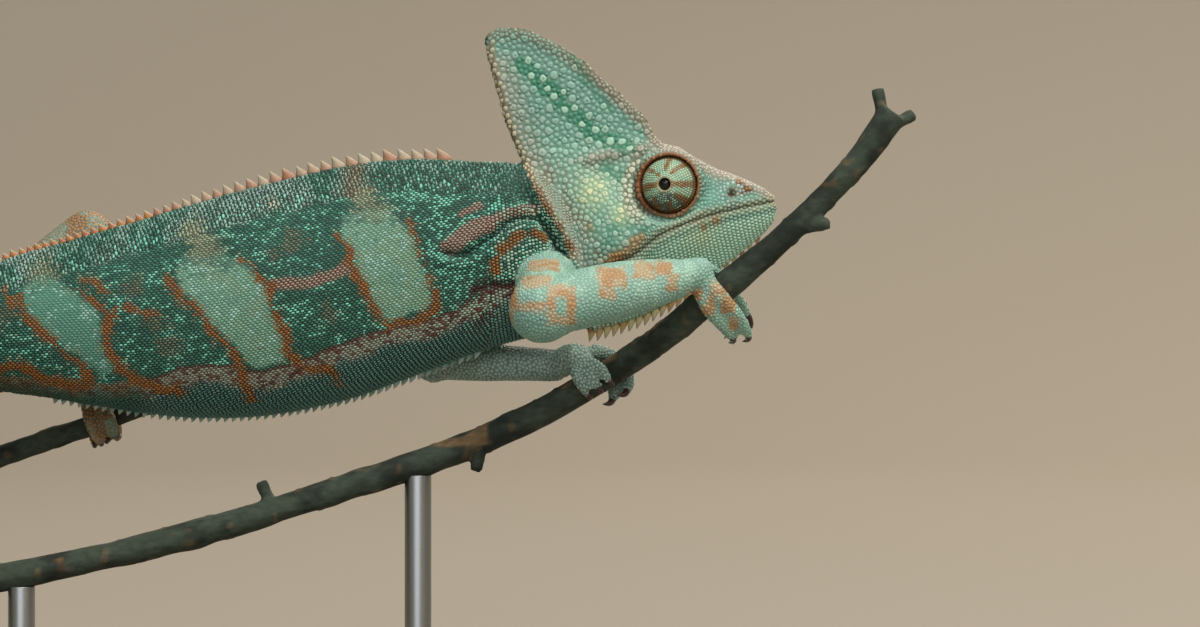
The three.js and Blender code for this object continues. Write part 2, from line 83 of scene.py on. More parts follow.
# x, how far the cheek, jaw and muzzle bulge out beside the thin blade of the casque
CHEEK_ROWS = [
    (19, 0.0), (27, 0.8), (34, 3.8), (39, 7.2), (46, 9.2), (54, 9.1), (61, 8.1), (68, 6.6), (75, 5.1),
    (80, 3.6), (83.9, 1.6),
]
# x, height of the mouth line, from behind the corner of the mouth to the tip of the muzzle
MOUTH_ROWS = [
    (34, 127.0), (40, 127.8), (45.4, 129.7), (51.5, 132.3), (57.6, 136.4), (62.3, 138.6), (69.3, 140.8),
    (84, 143.9),
]
HEAD_BLADE = 1.35  # half thickness of the casque's edge
HEAD_TIP = (83.4, 0, 143.0)

STEM_POINTS = [
    (-140, 2, 54.5), (-122, 1, 56), (-88, 0, 61), (-44, 0, 71), (-7, 0, 82.6), (11, 0, 88.6), (22, 0, 93.2),
    (35, -0.5, 99.6), (44.5, -1.8, 105.2), (56, -5.5, 112.8), (66, -10, 120.8), (72, -12.2, 125.7),
    (80, -14, 132.4), (88, -15.4, 139.6), (101, -17.4, 153.4), (108, -18.4, 163.2),
]
SHOOT_POINTS = [
    (-134, 2, 57.6), (-126, 6, 66), (-113, 12, 78), (-92, 17, 87), (-72, 18.5, 94), (-56, 18.5, 99.5),
]
CUT_ENDS = [STEM_POINTS[0], SHOOT_POINTS[-1]]
STUBS = [  # x on the stem, and how far the cut leaf stalk reaches
    (-28, (-3, 1, 6.5)), (18, (-1, -3, -6.5)), (86, (8, -3, 1.5)), (105, (7.5, 1, 4)), (106, (-1.5, 0, 8)),
]
TAIL_RADII = [7.3, 6.5, 5.8, 5.2, 4.7, 4.3, 3.9, 3.5, 3.1, 2.7, 2.3, 1.9, 1.4, 0.8]

# Each limb: its joints, the radii of its two segments, and its grip on a branch. In a grip, lean is the
# palm's in degrees, wrap is how far round the branch the toes go, hang how far they drop past it, and rake
# how far they sweep.
LIMBS = {
    "arm_right": dict(
        root=(33, -5, 127), elbow=(32.2, -29.5, 120.4), wrist=(61.5, -18, 127.2), bend=0.5,
        upper=[7.2, 6.9, 7.7], lower=[6.4, 6.8, 6.3, 4.7],
        held="stem", x=70.0, lean=-38, palm=4.0,
        near=dict(toes=2, along=0.1, wrap=97, hang=(6.6, 8.8), rake=-4.6, squeeze=0.6),
        far=dict(toes=3, along=-0.4, wrap=128, hang=(8.0, 9.4, 10.8), rake=-5, squeeze=0.7),
    ),
    "arm_left": dict(
        root=(30, 5, 127), elbow=(6.5, 14.5, 109.2), wrist=(35, 4, 108), bend=0,
        upper=[6.6, 5.6, 5.8], lower=[4.8, 4.8, 4.4, 4.0],
        held="stem", x=41.8, lean=-14, palm=3.8,
        near=dict(toes=3, along=2.3, wrap=88, hang=(0, 0, 0), rake=0.6),
        far=dict(toes=2, along=6.5, wrap=150, hang=(0, 0), rake=-4),
    ),
    "leg_right": dict(
        root=(-100, -3, 117), elbow=(-97.5, -31.5, 104.5), wrist=(-108.5, -7.5, 72.5), bend=0,
        upper=[8.2, 7.4, 6.6], lower=[5.4, 5.8, 4.9, 4.0],
        held="stem", x=-107, lean=-16, palm=4.0,
        near=dict(toes=3, along=0, wrap=138, hang=(0, 0, 0), rake=0),
        far=dict(toes=2, along=1, wrap=142, hang=(0, 0), rake=0),
    ),
    "leg_left": dict(
        root=(-99, 3, 112.5), elbow=(-71.8, 18.5, 137.2), wrist=(-71.4, 18.8, 107.6), bend=0,
        upper=[7.4, 6.8, 6.6], lower=[5.4, 5.8, 4.9, 4.0],
        held="shoot", x=-69.5, lean=8, palm=3.9,
        near=dict(toes=2, along=1, wrap=142, hang=(0, 0), rake=0),
        far=dict(toes=3, along=0, wrap=142, hang=(0, 0, 0), rake=0),
    ),
}


# ------------------------------------------------------------ small tools
def bell(distance, width):
    return np.exp(-((distance / width) ** 2))


def lerp(a, b, t):
    return a + (b - a) * t


def ramp(value, low, high):
    """0 at low and 1 at high, with a smooth rise between them. It falls if low is the higher."""
    t = np.clip((value - low) / (high - low), 0, 1)
    return t * t * (3 - 2 * t)


def unit(vectors):
    return vectors / np.maximum(np.linalg.norm(vectors, axis=-1, keepdims=True), 1e-9)


def smooth_rows(rows):
    """A smooth function through rows (x, value, ...). It gives the values at x, or the value if it is one."""
    table = np.array(rows, float)
    xs, values = table[:, 0], table[:, 1:]
    index = np.arange(len(xs))
    before, after = np.maximum(index - 1, 0), np.minimum(index + 1, len(xs) - 1)
    slopes = (values[after] - values[before]) / (xs[after] - xs[before])[:, None]

    def at(x):
        inside = np.clip(np.asarray(x, float), xs[0], xs[-1])
        i = np.clip(np.searchsorted(xs, inside, side="right") - 1, 0, len(xs) - 2)
        span = (xs[i + 1] - xs[i])[..., None]
        t = (inside - xs[i])[..., None] / span
        start = values[i] * (1 + 2 * t) * (1 - t) ** 2 + slopes[i] * span * t * (1 - t) ** 2
        result = start + values[i + 1] * t * t * (3 - 2 * t) + slopes[i + 1] * span * t * t * (t - 1)
        return result[..., 0] if values.shape[1] == 1 else np.moveaxis(result, -1, 0)

    return at


def even_rows(values):
    """A smooth function from 0 to 1 through values that are spread evenly."""
    return smooth_rows([(i / (len(values) - 1), value) for i, value in enumerate(values)])


def circle(sides):
    """The angles of the points of a ring."""
    return np.linspace(0, 2 * math.pi, sides, endpoint=False)


def linear(hex_colour):
    """An sRGB hex colour as linear red, green and blue."""
    srgb = np.array([int(hex_colour[i:i + 2], 16) / 255 for i in (0, 2, 4)])
    return np.where(srgb <= 0.04045, srgb / 12.92, ((srgb + 0.055) / 1.055) ** 2.4)


def rgba(hex_colour):
    return (*linear(hex_colour), 1.0)


def lattice_random(cell, seed):
    """A steady random number from 0 to 1 for each whole-number place in a lattice."""
    c = cell.astype(np.int64)
    mixed = c[..., 0] * 73856093 ^ c[..., 1] * 19349663 ^ c[..., 2] * 83492791 ^ (seed * 2654435761)
    mixed = (mixed ^ (mixed >> 13)) * 1274126177 & 0x7FFFFFFF
    return ((mixed ^ (mixed >> 16)) & 0xFFFFFF) / 0xFFFFFF


def noise(points, size, seed=0):
    """Smooth noise from 0 to 1, whose lumps are `size` millimetres across."""
    place = points / size
    cell = np.floor(place)
    t = place - cell
    t = t * t * (3 - 2 * t)
    total = 0
    for corner in np.ndindex(2, 2, 2):
        weight = np.prod(np.where(np.array(corner) == 1, t, 1 - t), axis=-1)
        total = total + weight * lattice_random(cell + corner, seed)
    return total


def patches(points, size, seed=0):
    """A mosaic of cells `size` across: each point's cell number from 0 to 1, and how far its edge is."""
    place = points / size
    cell = np.floor(place)
    nearest = np.full(len(points), 9.0)
    second = np.full(len(points), 9.0)
    number = np.zeros(len(points))
    for step in np.ndindex(3, 3, 3):
        other = cell + np.array(step) - 1
        seed_point = other + np.stack([lattice_random(other, seed + k) for k in (1, 2, 3)], -1)
        distance = np.linalg.norm(place - seed_point, axis=-1)
        closer = distance < nearest
        second = np.where(closer, nearest, np.minimum(second, distance))
        number = np.where(closer, lattice_random(other, seed + 4), number)
        nearest = np.minimum(nearest, distance)
    return number, (second - nearest) * size


class Route:
    """A smooth curve through points, read by its share of the length from 0 to 1."""

    def __init__(self, points, facing=(0, -1, 0), fineness=24):
        p = np.array(points, float)
        p = np.vstack([2 * p[0] - p[1], p, 2 * p[-1] - p[-2]])
        line = []
        for p0, p1, p2, p3 in zip(p, p[1:], p[2:], p[3:]):
            d0, d1, d2 = (np.linalg.norm(b - a) ** 0.5 for a, b in ((p0, p1), (p1, p2), (p2, p3)))
            start = ((p1 - p0) / d0 - (p2 - p0) / (d0 + d1) + (p2 - p1) / d1) * d1
            end = ((p2 - p1) / d1 - (p3 - p1) / (d1 + d2) + (p3 - p2) / d2) * d1
            t = np.linspace(0, 1, fineness, endpoint=False)[:, None]
            cube = 2 * p1 - 2 * p2 + start + end
            square = 3 * p2 - 3 * p1 - 2 * start - end
            line.append(p1 + t * start + t * t * square + t ** 3 * cube)
        self.line = np.vstack([*line, p[-2:-1]])
        steps = np.linalg.norm(np.diff(self.line, axis=0), axis=1)
        self.length = steps.sum()
        self.share = np.concatenate([[0], np.cumsum(steps)]) / self.length
        self.tangents = unit(np.gradient(self.line, axis=0))
        side = np.array(facing, float)
        sides = []
        for tangent in self.tangents:
            side = side - tangent * (side @ tangent)
            side = side / np.linalg.norm(side)
            sides.append(side)
        self.sides = np.array(sides)

    def _read(self, table, share):
        return np.stack([np.interp(share, self.share, table[:, k]) for k in range(3)], -1)

    def at(self, share):
        return self._read(self.line, share)

    def tangent(self, share):
        return unit(self._read(self.tangents, share))

    def frame(self, share):
        """The way that angle 0 faces, and the way that a quarter turn faces."""
        along = self.tangent(share)
        side = self._read(self.sides, share)
        side = unit(side - along * np.sum(side * along, -1, keepdims=True))
        return side, np.cross(along, side)

    def ring(self, share, angles):
        """A point of the curve, and the unit circle that is square to the curve there."""
        side, up = self.frame(share)
        return self.at(share), np.outer(np.cos(angles), side) + np.outer(np.sin(angles), up)

    def share_at_x(self, x):
        return float(np.interp(x, self.line[:, 0], self.share))


# ------------------------------------------------------------ the animal's forms, as rings of points
trunk_at = smooth_rows(TRUNK_ROWS)
head_at = smooth_rows(HEAD_ROWS)
cheek_at = smooth_rows(CHEEK_ROWS)
mouth_at = smooth_rows(MOUTH_ROWS)
RING_POINTS = 96
RING_STEP = 0.7  # between the rings of a tube
DOME_LEANS = (16, 32, 48, 66, 84)  # how far round its end dome each of a tube's last rings is, in degrees
RING_ANGLES = circle(RING_POINTS)


def bulged(power):
    """How far out each point of a section is."""
    return np.abs(np.sin(RING_ANGLES)) ** power * np.sign(np.sin(RING_ANGLES))


def trunk_ring(x):
    top, bottom, half = trunk_at(x)
    middle, tall = (top + bottom) / 2, (top - bottom) / 2 - COAT
    out = bulged(np.where(np.cos(RING_ANGLES) > 0, KEEL["back"], KEEL["belly"]))
    return np.stack([np.full(RING_POINTS, x), (half - COAT) * out, middle + tall * np.cos(RING_ANGLES)], -1)


def head_half_width(x, z):
    widest = mouth_at(x) + 3
    rise = np.where(z > widest, lerp(15, 19, ramp(x, 60, 70)), 14)
    brow = 2.4 * bell(x - 61.5, 7) * bell(z - 154.2, 3.2)
    return HEAD_BLADE + cheek_at(x) * bell(z - widest, rise) + brow


def head_ring(x):
    top, bottom = head_at(x)
    tall = max((top - bottom) / 2 - COAT, 0.5)
    z = (top + bottom) / 2 + tall * np.cos(RING_ANGLES)
    out = (head_half_width(x, z) - COAT) * bulged(KEEL["head"])
    return np.stack([np.full(RING_POINTS, x), out, z], -1)


def head_tip():
    return lerp(head_ring(HEAD_TIP[0]), np.array(HEAD_TIP), 0.35)


class Form:
    """A stretch of flesh as rings of points, with the zones of scales that grow on it."""

    def __init__(self, region, rings, zones):
        self.region, self.rings, self.zones = region, np.array(rings), zones


def tube_form(region, route, radii, end=1.0, domes=(0.9, 0.9), zone="limb", sides=48):
    """A round tube along a route. Its radii are spread evenly along it, and each end is a dome."""
    radius_at = even_rows(radii)
    count = max(int(route.length * end / RING_STEP), 6)
    places = [(0.0, -lean) for lean in reversed(DOME_LEANS)]
    places += [(share, 0) for share in np.linspace(0, end, count)]
    places += [(end, lean) for lean in DOME_LEANS]
    rings = []
    for share, lean in places:
        radius = float(radius_at(share)) - COAT
        dome = domes[0] if lean < 0 else domes[1]
        centre, around = route.ring(share, circle(sides))
        centre = centre + route.tangent(share) * math.sin(math.radians(lean)) * dome * radius
        rings.append(centre + radius * math.cos(math.radians(lean)) * around)
    return Form(region, rings, (zone,))


stem = Route(STEM_POINTS)
shoot = Route(SHOOT_POINTS)


def tail_points():
    points = [(-111, 0, 111), (-122, -0.5, 107), (-136, -2.5, 99), (-149, -6, 88), (-158.5, -9.5, 74.5)]
    for i in range(15):
        t = i / 14
        angle = math.radians(COIL["start"] + 360 * COIL["turns"] * t)
        radius = lerp(COIL["outer"], COIL["inner"], t)
        points.append((COIL["x"] + radius * math.cos(angle), COIL["y"] - 2 * t,
                       COIL["z"] + radius * math.sin(angle)))
    return points


def grip_paths(limb):
    """The palm's path, and for each toe its path and its radius."""
    route, held = (stem, BRANCH_RADIUS) if limb["held"] == "stem" else (shoot, SHOOT_RADIUS)
    share = route.share_at_x(limb["x"])
    centre, along = route.at(share), route.tangent(share)
    lean = math.radians(limb["lean"])
    up = np.array([0, math.sin(lean), math.cos(lean)])
    up = unit(up - along * (up @ along))
    near_way = np.cross(along, up)

    def at(offset, degrees, distance, drop=0.0):
        turn = math.radians(degrees)
        rise = distance * math.cos(turn) - drop
        return tuple(centre + along * offset + up * rise + near_way * distance * math.sin(turn))

    palm_height = held + limb["palm"] + GRIP_GAP
    palm = [limb["wrist"], at(1.6, 0, palm_height)]
    toes = []
    for bundle, sign in ((limb["near"], 1), (limb["far"], -1)):
        for k in range(bundle["toes"]):
            radius = 1.65 if bundle["toes"] == 3 else 2.15
            aside = (k - (bundle["toes"] - 1) / 2) * radius * 1.75
            path = []
            for i, share in enumerate((0.12, 0.4, 0.7, 0.95, 1.08, 1.18, 1.26)):
                closing = lerp(1, bundle.get("squeeze", 1), min(max((i - 2) / 4, 0), 1))
                spread = bundle["along"] + aside * closing
                offset = lerp(spread * 0.6, spread, min(i / 2, 1)) + bundle["rake"] * (i / 6) ** 2
                hooked_in = 0.8 if i == 6 else 0
                drop = bundle["hang"][k] * min(max((i - 1.9) / 2.6, 0), 1)
                distance = held + radius + GRIP_GAP + 0.2 - hooked_in
                path.append(at(offset, sign * share * bundle["wrap"], distance, drop))
            toes.append((path, radius))
    return palm, toes


TOE_END = 0.84  # share of a toe's length where the claw begins


def limb_forms(name, limb):
    outside = (0, -1, 0) if name.endswith("right") else (0, 1, 0)
    upper = Route([limb["root"], limb["elbow"]], facing=(1, 0, 0))
    middle = [(a + b) / 2 for a, b in zip(limb["elbow"], limb["wrist"])]
    middle[2] += limb["bend"]
    lower = Route([limb["elbow"], middle, limb["wrist"]], facing=outside)
    palm, toes = grip_paths(limb)
    palm_radii = [limb["palm"] * 0.88, limb["palm"], limb["palm"] * 0.85]
    forms = [
        tube_form(name, upper, limb["upper"]),
        tube_form(name, lower, limb["lower"], domes=(0.5, 0.6)),
        tube_form(name, Route(palm, facing=outside), palm_radii, domes=(0.3, 0.9)),
    ]
    for path, radius in toes:
        thickness = [share * radius for share in (1, 1, 1, 0.94, 0.76, 0.4)]
        toe = Route(path, facing=outside)
        forms.append(tube_form(name, toe, thickness, TOE_END, domes=(0.5, 0.7), zone="toe", sides=28))
    return forms


def animal_forms():
    trunk_stations = np.arange(-112, 45.01, 0.75)
    head_stations = [*np.arange(19.3, 24, 0.35), *np.arange(24, 78, 0.7), *np.arange(78, 83.3, 0.4)]
    forms = [
        Form("trunk", [trunk_ring(x) for x in trunk_stations], ("flank", "crest", "belly", "neck")),
        Form("head", [*[head_ring(x) for x in head_stations], head_tip()], ("plates", "muzzle", "jaw")),
        tube_form("tail", Route(tail_points()), TAIL_RADII, domes=(0, 0.8)),
    ]
    for name, limb in LIMBS.items():
        forms += limb_forms(name, limb)
    return forms


# ------------------------------------------------------------ meshes
def link_object(name, data):
    """A new object in the scene."""
    thing = bpy.data.objects.new(name, data)
    bpy.context.scene.collection.objects.link(thing)
    return thing


def on_model(where):
    """Points in the animal's millimetres, as the model's metres."""
    return (np.asarray(where, float) + [MODEL_X, 0, 0]) * MM


def on_animal(places):
    """Points of the model, as the animal's millimetres."""
    return places.reshape(-1, 3).astype(float) / MM - [MODEL_X, 0, 0]


def from_mesh(items, field, width=3, kind=np.float32):
    """One field of all of a mesh's points, faces or corners."""
    values = np.empty(len(items) * width, kind)
    items.foreach_get(field, values)
    return values


def points_of(thing):
    """An object's points and their normals, in the animal's millimetres."""
    points = thing.data.vertices
    return on_animal(from_mesh(points, "co")), from_mesh(points, "normal").reshape(-1, 3).astype(float)


def move_points(thing, where):
    thing.data.vertices.foreach_set("co", on_model(where).astype(np.float32).ravel())
    thing.data.update()


def lofted(rings):
    """Quads through rings of points, closed at both ends."""
    count, sides = rings.shape[:2]
    points = rings.reshape(-1, 3)
    faces = []
    for i in range(count - 1):
        for j in range(sides):
            a, b = i * sides + j, i * sides + (j + 1) % sides
            faces.append((a, b, b + sides, a + sides))
    faces.append(tuple(range(sides - 1, -1, -1)))
    faces.append(tuple(range((count - 1) * sides, count * sides)))
    return points.tolist(), faces


def joined_lofts(many):
    """The points and faces of lofts through several sets of rings."""
    points, faces = [], []
    for rings in many:
        more, quads = lofted(rings)
        faces += [tuple(k + len(points) for k in face) for face in quads]
        points += more
    return points, faces


def joined_rings(name, many):
    """One mesh object of lofts through several sets of rings."""
    points, faces = joined_lofts(many)
    mesh = bpy.data.meshes.new(name)
    mesh.from_pydata(on_model(points).tolist(), [], faces)
    mesh.update()
    return link_object(name, mesh)


def select_only(thing):
    bpy.ops.object.select_all(action="DESELECT")
    thing.select_set(True)
    bpy.context.view_layer.objects.active = thing


def shade_smooth(thing):
    select_only(thing)
    bpy.ops.object.shade_smooth()


def start_edit(thing):
    """Edit mode, with the whole mesh selected."""
    select_only(thing)
    bpy.ops.object.mode_set(mode="EDIT")
    bpy.ops.mesh.select_all(action="SELECT")


def end_edit(inside=False):
    """Turns all the faces outwards, or inside, and leaves edit mode."""
    bpy.ops.mesh.select_all(action="SELECT")
    bpy.ops.mesh.normals_make_consistent(inside=inside)
    bpy.ops.object.mode_set(mode="OBJECT")


def start_turned(name, profile, steps, merge):
    """An object turned from (radius, height) points in metres. It is left in edit mode."""
    mesh = bpy.data.meshes.new(name)
    thing = link_object(name, mesh)
    mesh.from_pydata([(r, 0, z) for r, z in profile], [(i, i + 1) for i in range(len(profile) - 1)], [])
    start_edit(thing)
    bpy.ops.mesh.spin(steps=steps, angle=2 * math.pi, center=(0, 0, 0), axis=(0, 0, 1))
    bpy.ops.mesh.select_all(action="SELECT")
    bpy.ops.mesh.remove_doubles(threshold=merge)
    return thing


def finish_modifier(thing, kind, **settings):
    """Adds one modifier, sets it and applies it."""
    select_only(thing)
    modifier = thing.modifiers.new(kind.title(), kind)
    for key, value in settings.items():
        setattr(modifier, key, value)
    bpy.ops.object.modifier_apply(modifier=modifier.name)


def grow_together(thing, voxel, iterations):
    """Makes an object's lofts into one closed surface, and smooths where they meet."""
    finish_modifier(thing, "REMESH", mode="VOXEL", voxel_size=voxel * MM)
    finish_modifier(thing, "SMOOTH", factor=0.5, iterations=iterations)


def flesh(forms):
    """All the forms grown together into one closed skin."""
    skin = joined_rings("skin", [form.rings for form in forms])
    start_edit(skin)
    end_edit()
    grow_together(skin, VOXEL, 4)
    return skin


# ------------------------------------------------------------ lines and places on the animal's sides
def line_distance(where, points, reach=8.0):
    """How far each point is, seen from the side, from a smooth line through (x, z) points, or 99 if far."""
    line = Route([(x, 0, z) for x, z in points], fineness=16).line[:, [0, 2]]
    flat = where[:, [0, 2]]
    close = np.all((flat > line.min(0) - reach) & (flat < line.max(0) + reach), axis=1)
    distance = np.full(len(where), 99.0)
    if close.any():
        offsets = flat[close][:, None, :] - line[None, :, :]
        distance[close] = np.sqrt((offsets ** 2).sum(-1).min(1))
    return distance


def spot(where, x, z, size):
    """1 at a place on both sides, falling away over `size` millimetres."""
    return bell(np.hypot(where[:, 0] - x, where[:, 2] - z), size)


def spots_at(where, *places):
    """The strongest of several spots at each point."""
    return np.max([spot(where, *place) for place in places], axis=0)


REAR_EDGE = [(z, x) for x, _, z in HEAD_ROWS[:9]][::-1]  # height, x of the casque's and cheek's rear edge
rear_edge_at = smooth_rows(REAR_EDGE)
MOUTH_LINE = [
    (45.4, 129.7), (51.5, 132.3), (57.6, 136.8), (62.3, 139.0), (69.3, 141.4), (77, 143.2), (84, 144.6),
]
TEMPLE_RIDGE = [(42.2, 153.4), (45.3, 154.6), (49.3, 155.2), (53.3, 155.9), (56.6, 156.6)]
CANTHUS = [(66.5, 152.4), (70.2, 150.3), (73.3, 148.9), (76.6, 147.7), (80.5, 146.4)]
NOSTRIL = (73.4, 146.0)
NECK_FOLD = [
    (10.3, 132.9), (14.6, 132.5), (18.0, 134.6), (22.4, 138.0), (24.8, 140.0), (28.4, 140.7), (31.3, 140.2),
    (32.8, 138.5), (34.0, 136.1), (35.7, 133.7), (37.4, 130.0), (37.9, 127.6),
]
SHOULDER_CREASE = [(16.6, 124.5), (20.4, 125.9), (23.6, 125.7), (26.3, 126.4)]
LOWER_LINE = [  # x, height of the line where the flank's markings end and the belly begins
    (-112, 106), (-88.8, 105.9), (-69.9, 104), (-55.5, 104.8), (-50.9, 106.2), (-48, 107.4), (-38.4, 108.2),
    (-30.4, 106.8), (-26, 107.7), (-19.8, 109.5), (-13.7, 112.2), (-7.5, 114.2), (-2.8, 116.2), (3, 117.6),
    (7.9, 118.4), (13.9, 120.8), (20, 124.5), (26.2, 126.1), (45, 126.5),
]
lower_line_at = smooth_rows(LOWER_LINE)


def on_eye(where):
    """Each point in the nearer eye's frame: distance from its axis, height along it, angle round it, side."""
    turn = EYE["turn_back"]
    side = np.sign(where[:, 1]) + (where[:, 1] == 0)
    dx, dy, dz = where[:, 0] - EYE["x"], np.abs(where[:, 1]) - EYE["depth"], where[:, 2] - EYE["z"]
    height = dy * math.cos(turn) - dx * math.sin(turn)
    across = dx * math.cos(turn) + dy * math.sin(turn)
    return np.hypot(across, dz), height, np.arctan2(dz, across), side


def crown_depth(where):
    """How far each point lies below the head's outline."""
    return head_at(where[:, 0])[0] - where[:, 2]


# ------------------------------------------------------------ the skin's folds
def fold_skin(where, normals, region):
    """The skin's points, moved to make the folds, ridges and hollows that its plain forms lack."""
    x, z = where[:, 0], where[:, 2]
    trunk_or_head = (region == "trunk") | (region == "head")
    ahead = np.where(trunk_or_head, x - rear_edge_at(z), -99)
    head = ahead > 0
    body = trunk_or_head & ~head
    push = 0.25 * (noise(where, 9, 31) - 0.5) + 0.12 * (noise(where, 3.2, 32) - 0.5)

    # The head's rear edge is a raised rim, and the neck's skin dips behind it.
    behind_head = ramp(z, 152, 143) * ramp(z, 116, 122)
    rim = 0.45 * bell(ahead - 0.9, 0.9)
    dip = 0.9 * bell(ahead - 1.0, 1.3) - 1.9 * bell(ahead + 2.0, 1.9)
    push += trunk_or_head * (rim + behind_head * dip)

    # Casque: a thick front edge and a shallow field behind it.
    crown = crown_depth(where)
    field = 0.22 * ramp(crown, 3, 6) * ramp(ahead, 2, 5)
    push += head * (z > 156) * (0.4 * bell(crown - 1.4, 1.5) - field)

    # Temple: a ridge from the brow backwards, with a hollow below it, and the jaw muscle's swelling.
    push += head * 0.65 * bell(line_distance(where, TEMPLE_RIDGE), 1.1)
    push -= head * 0.7 * spot(where, 46.0, 150.6, 3.2)
    push += head * (0.8 * spot(where, 42.5, 145.0, 5.0) + 0.5 * spot(where, 49, 135.5, 4.0))

    # Muzzle: the canthus is a ridge from the eye to the nostril, with a hollow below it.
    push += head * 0.45 * bell(line_distance(where, CANTHUS), 1.0)
    push -= head * 0.35 * spot(where, 69.5, 146.8, 2.6)

    # Mouth: a fine groove between two swollen lips.
    mouth = line_distance(where, MOUTH_LINE)
    push += head * (0.25 * bell(mouth - 1.2, 0.7) - 0.5 * bell(mouth, 0.4))

    # Nostril: a pit with a raised ring.
    from_nostril = np.hypot(x - NOSTRIL[0], z - NOSTRIL[1])
    push += head * (0.4 * bell(from_nostril - 1.5, 0.6) - 1.3 * bell(from_nostril, 0.7))

    # Neck and shoulder.
    fold = line_distance(where, NECK_FOLD)
    push += body * (0.45 * bell(fold - 2.2, 1.3) - 1.0 * bell(fold, 0.8))
    push -= body * 0.6 * bell(line_distance(where, SHOULDER_CREASE), 0.8)
    push += body * 0.7 * spot(where, 25.5, 130.5, 5.5)
    moved = where + normals * push[:, None]

    # The eye's socket: a fold round the turret, and a hollow under it.
    radius, height, _, side = on_eye(moved)
    ring = 1.05 - 1.4 * (np.maximum(radius - 6.8, -0.4) / 0.8) ** 2
    target = np.where(radius < 6.35, -1.7, np.maximum(ring, 0.1 - 0.3 * (radius - 7.4)))
    near_eye = (region == "head") & (radius < 8.8) & (np.abs(where[:, 1]) > 1.5)
    change = (target - height) * (1 - ramp(radius, 7.3, 8.8))
    turn = EYE["turn_back"]
    axis = np.stack([np.full(len(x), -math.sin(turn)), side * math.cos(turn), np.zeros(len(x))], -1)
    return moved + axis * np.where(near_eye, change, 0)[:, None]


# ------------------------------------------------------------ markings
COLOURS = {
    name: linear(value)
    for name, value in dict(
        ivory="a3a48e", deep_teal="2a6053", teal="3c7e6e", turquoise="7ad2bb", pale_green="7fae96",
        rust="8c5f26", dark_red="54231b", mauve="a39084", brown="7b6248", grey_teal="6f9c92",
        mint="9cc4ae", pale_mint="b8dcc6", casque_green="2f7d62", cream="bdb496", yellow_cream="c8cda0",
        peach="c2a07a", orange="a9702f", dark_gap="163a2f", aqua="8cc7b4", salmon="95573a",
        blue_grey="9fb9b4", bone="c9c3ae", umber="77694f", straw="93976f", belly_teal="587f7c",
        pale_gap="5a8673", rust_gap="552a12", red_gap="3c1712", smoky_teal="2c6158", sage="8aaea0",
        blush="a69a8f", ring_rust="965c30", tan="a88a62", olive="6d6a52", sky="a3cdc8",
        bark_grey="39443a", bark_dark="222a24", bark_tan="7a6040", pith="b8a888",
    ).items()
}


def paint(under, name, amount):
    return under + (COLOURS[name] - under) * np.clip(amount, 0, 1)[:, None]


def flat_colour(count, name):
    return np.tile(COLOURS[name], (count, 1))


class Hide:
    """The colour of each scale, and that of the skin that shows between it and the next."""

    def __init__(self, where, scale, between):
        self.scale, self.between = flat_colour(len(where), scale), flat_colour(len(where), between)

    def tint(self, name, amount, between=None):
        """Tints the scales, and the skin between them only where a colour is named for it."""
        self.scale = paint(self.scale, name, amount)
        if between:
            self.between = paint(self.between, between, amount)


def outline_distance(where, outline):
    """How far each point is outside a closed (x, z) outline seen from the side, and less than 0 inside it."""
    x, z = where[:, 0], where[:, 2]
    inside = np.zeros(len(where), bool)
    for (ax, az), (bx, bz) in zip(outline, outline[1:] + outline[:1]):
        between = (az > z) != (bz > z)
        inside ^= between & (x < ax + (bx - ax) * (z - az) / (bz - az if bz != az else 1))
    return np.where(inside, -1, 1) * line_distance(where, outline + outline[:1])


PALE_PATCHES = [  # outlines of the flank's pale patches, from the shoulder back
    [(-11.7, 141.0), (-8.2, 142.0), (-2.4, 142.3), (-0.1, 140.5), (2.1, 138.1), (3.7, 135.2), (4.1, 132.7),
     (5.9, 129.8), (6.8, 126.9), (7.4, 123.3), (5.9, 120.9), (3.0, 119.8), (-1.0, 117.8), (-3.3, 118.4),
     (-5.0, 121.8), (-6.8, 125.1), (-8.2, 128.3), (-9.5, 131.6), (-10.4, 134.2), (-11.9, 136.0),
     (-12.6, 139.2)],
    [(-47.8, 128.3), (-47.4, 125.4), (-46.0, 123.6), (-44.0, 122.5), (-42.7, 120.5), (-40.9, 117.8),
     (-38.7, 115.6), (-36.2, 113.6), (-34.2, 110.7), (-33.3, 109.1), (-30.4, 108.0), (-24.9, 109.3),
     (-23.3, 110.7), (-24.6, 113.8), (-25.7, 116.4), (-26.9, 119.6), (-27.6, 122.5), (-28.2, 125.1),
     (-29.6, 126.9), (-31.8, 129.4), (-34.7, 131.6), (-38.4, 132.2), (-44.5, 132.2), (-47.4, 131.2)],
    [(-81.9, 123.1), (-81.4, 120.4), (-79.2, 117.9), (-76.7, 115.5), (-74.6, 113.8), (-72.7, 111.6),
     (-69.9, 110.0), (-68.6, 108.7), (-66.7, 107.3), (-65.0, 106.2), (-62.9, 106.7), (-62.3, 109.2),
     (-63.7, 111.1), (-64.5, 113.8), (-64.5, 116.8), (-64.8, 119.3), (-67.2, 121.2), (-69.9, 123.6),
     (-72.1, 125.5), (-75.4, 127.2), (-78.6, 128.0), (-80.8, 127.2), (-82.2, 125.3)],
    [(-105.5, 117.5), (-103.0, 113.2), (-99.0, 109.6), (-94.8, 107.4), (-91.6, 108.2), (-92.6, 112.0),
     (-94.2, 116.6), (-97.0, 119.6), (-102.0, 120.2)],
]
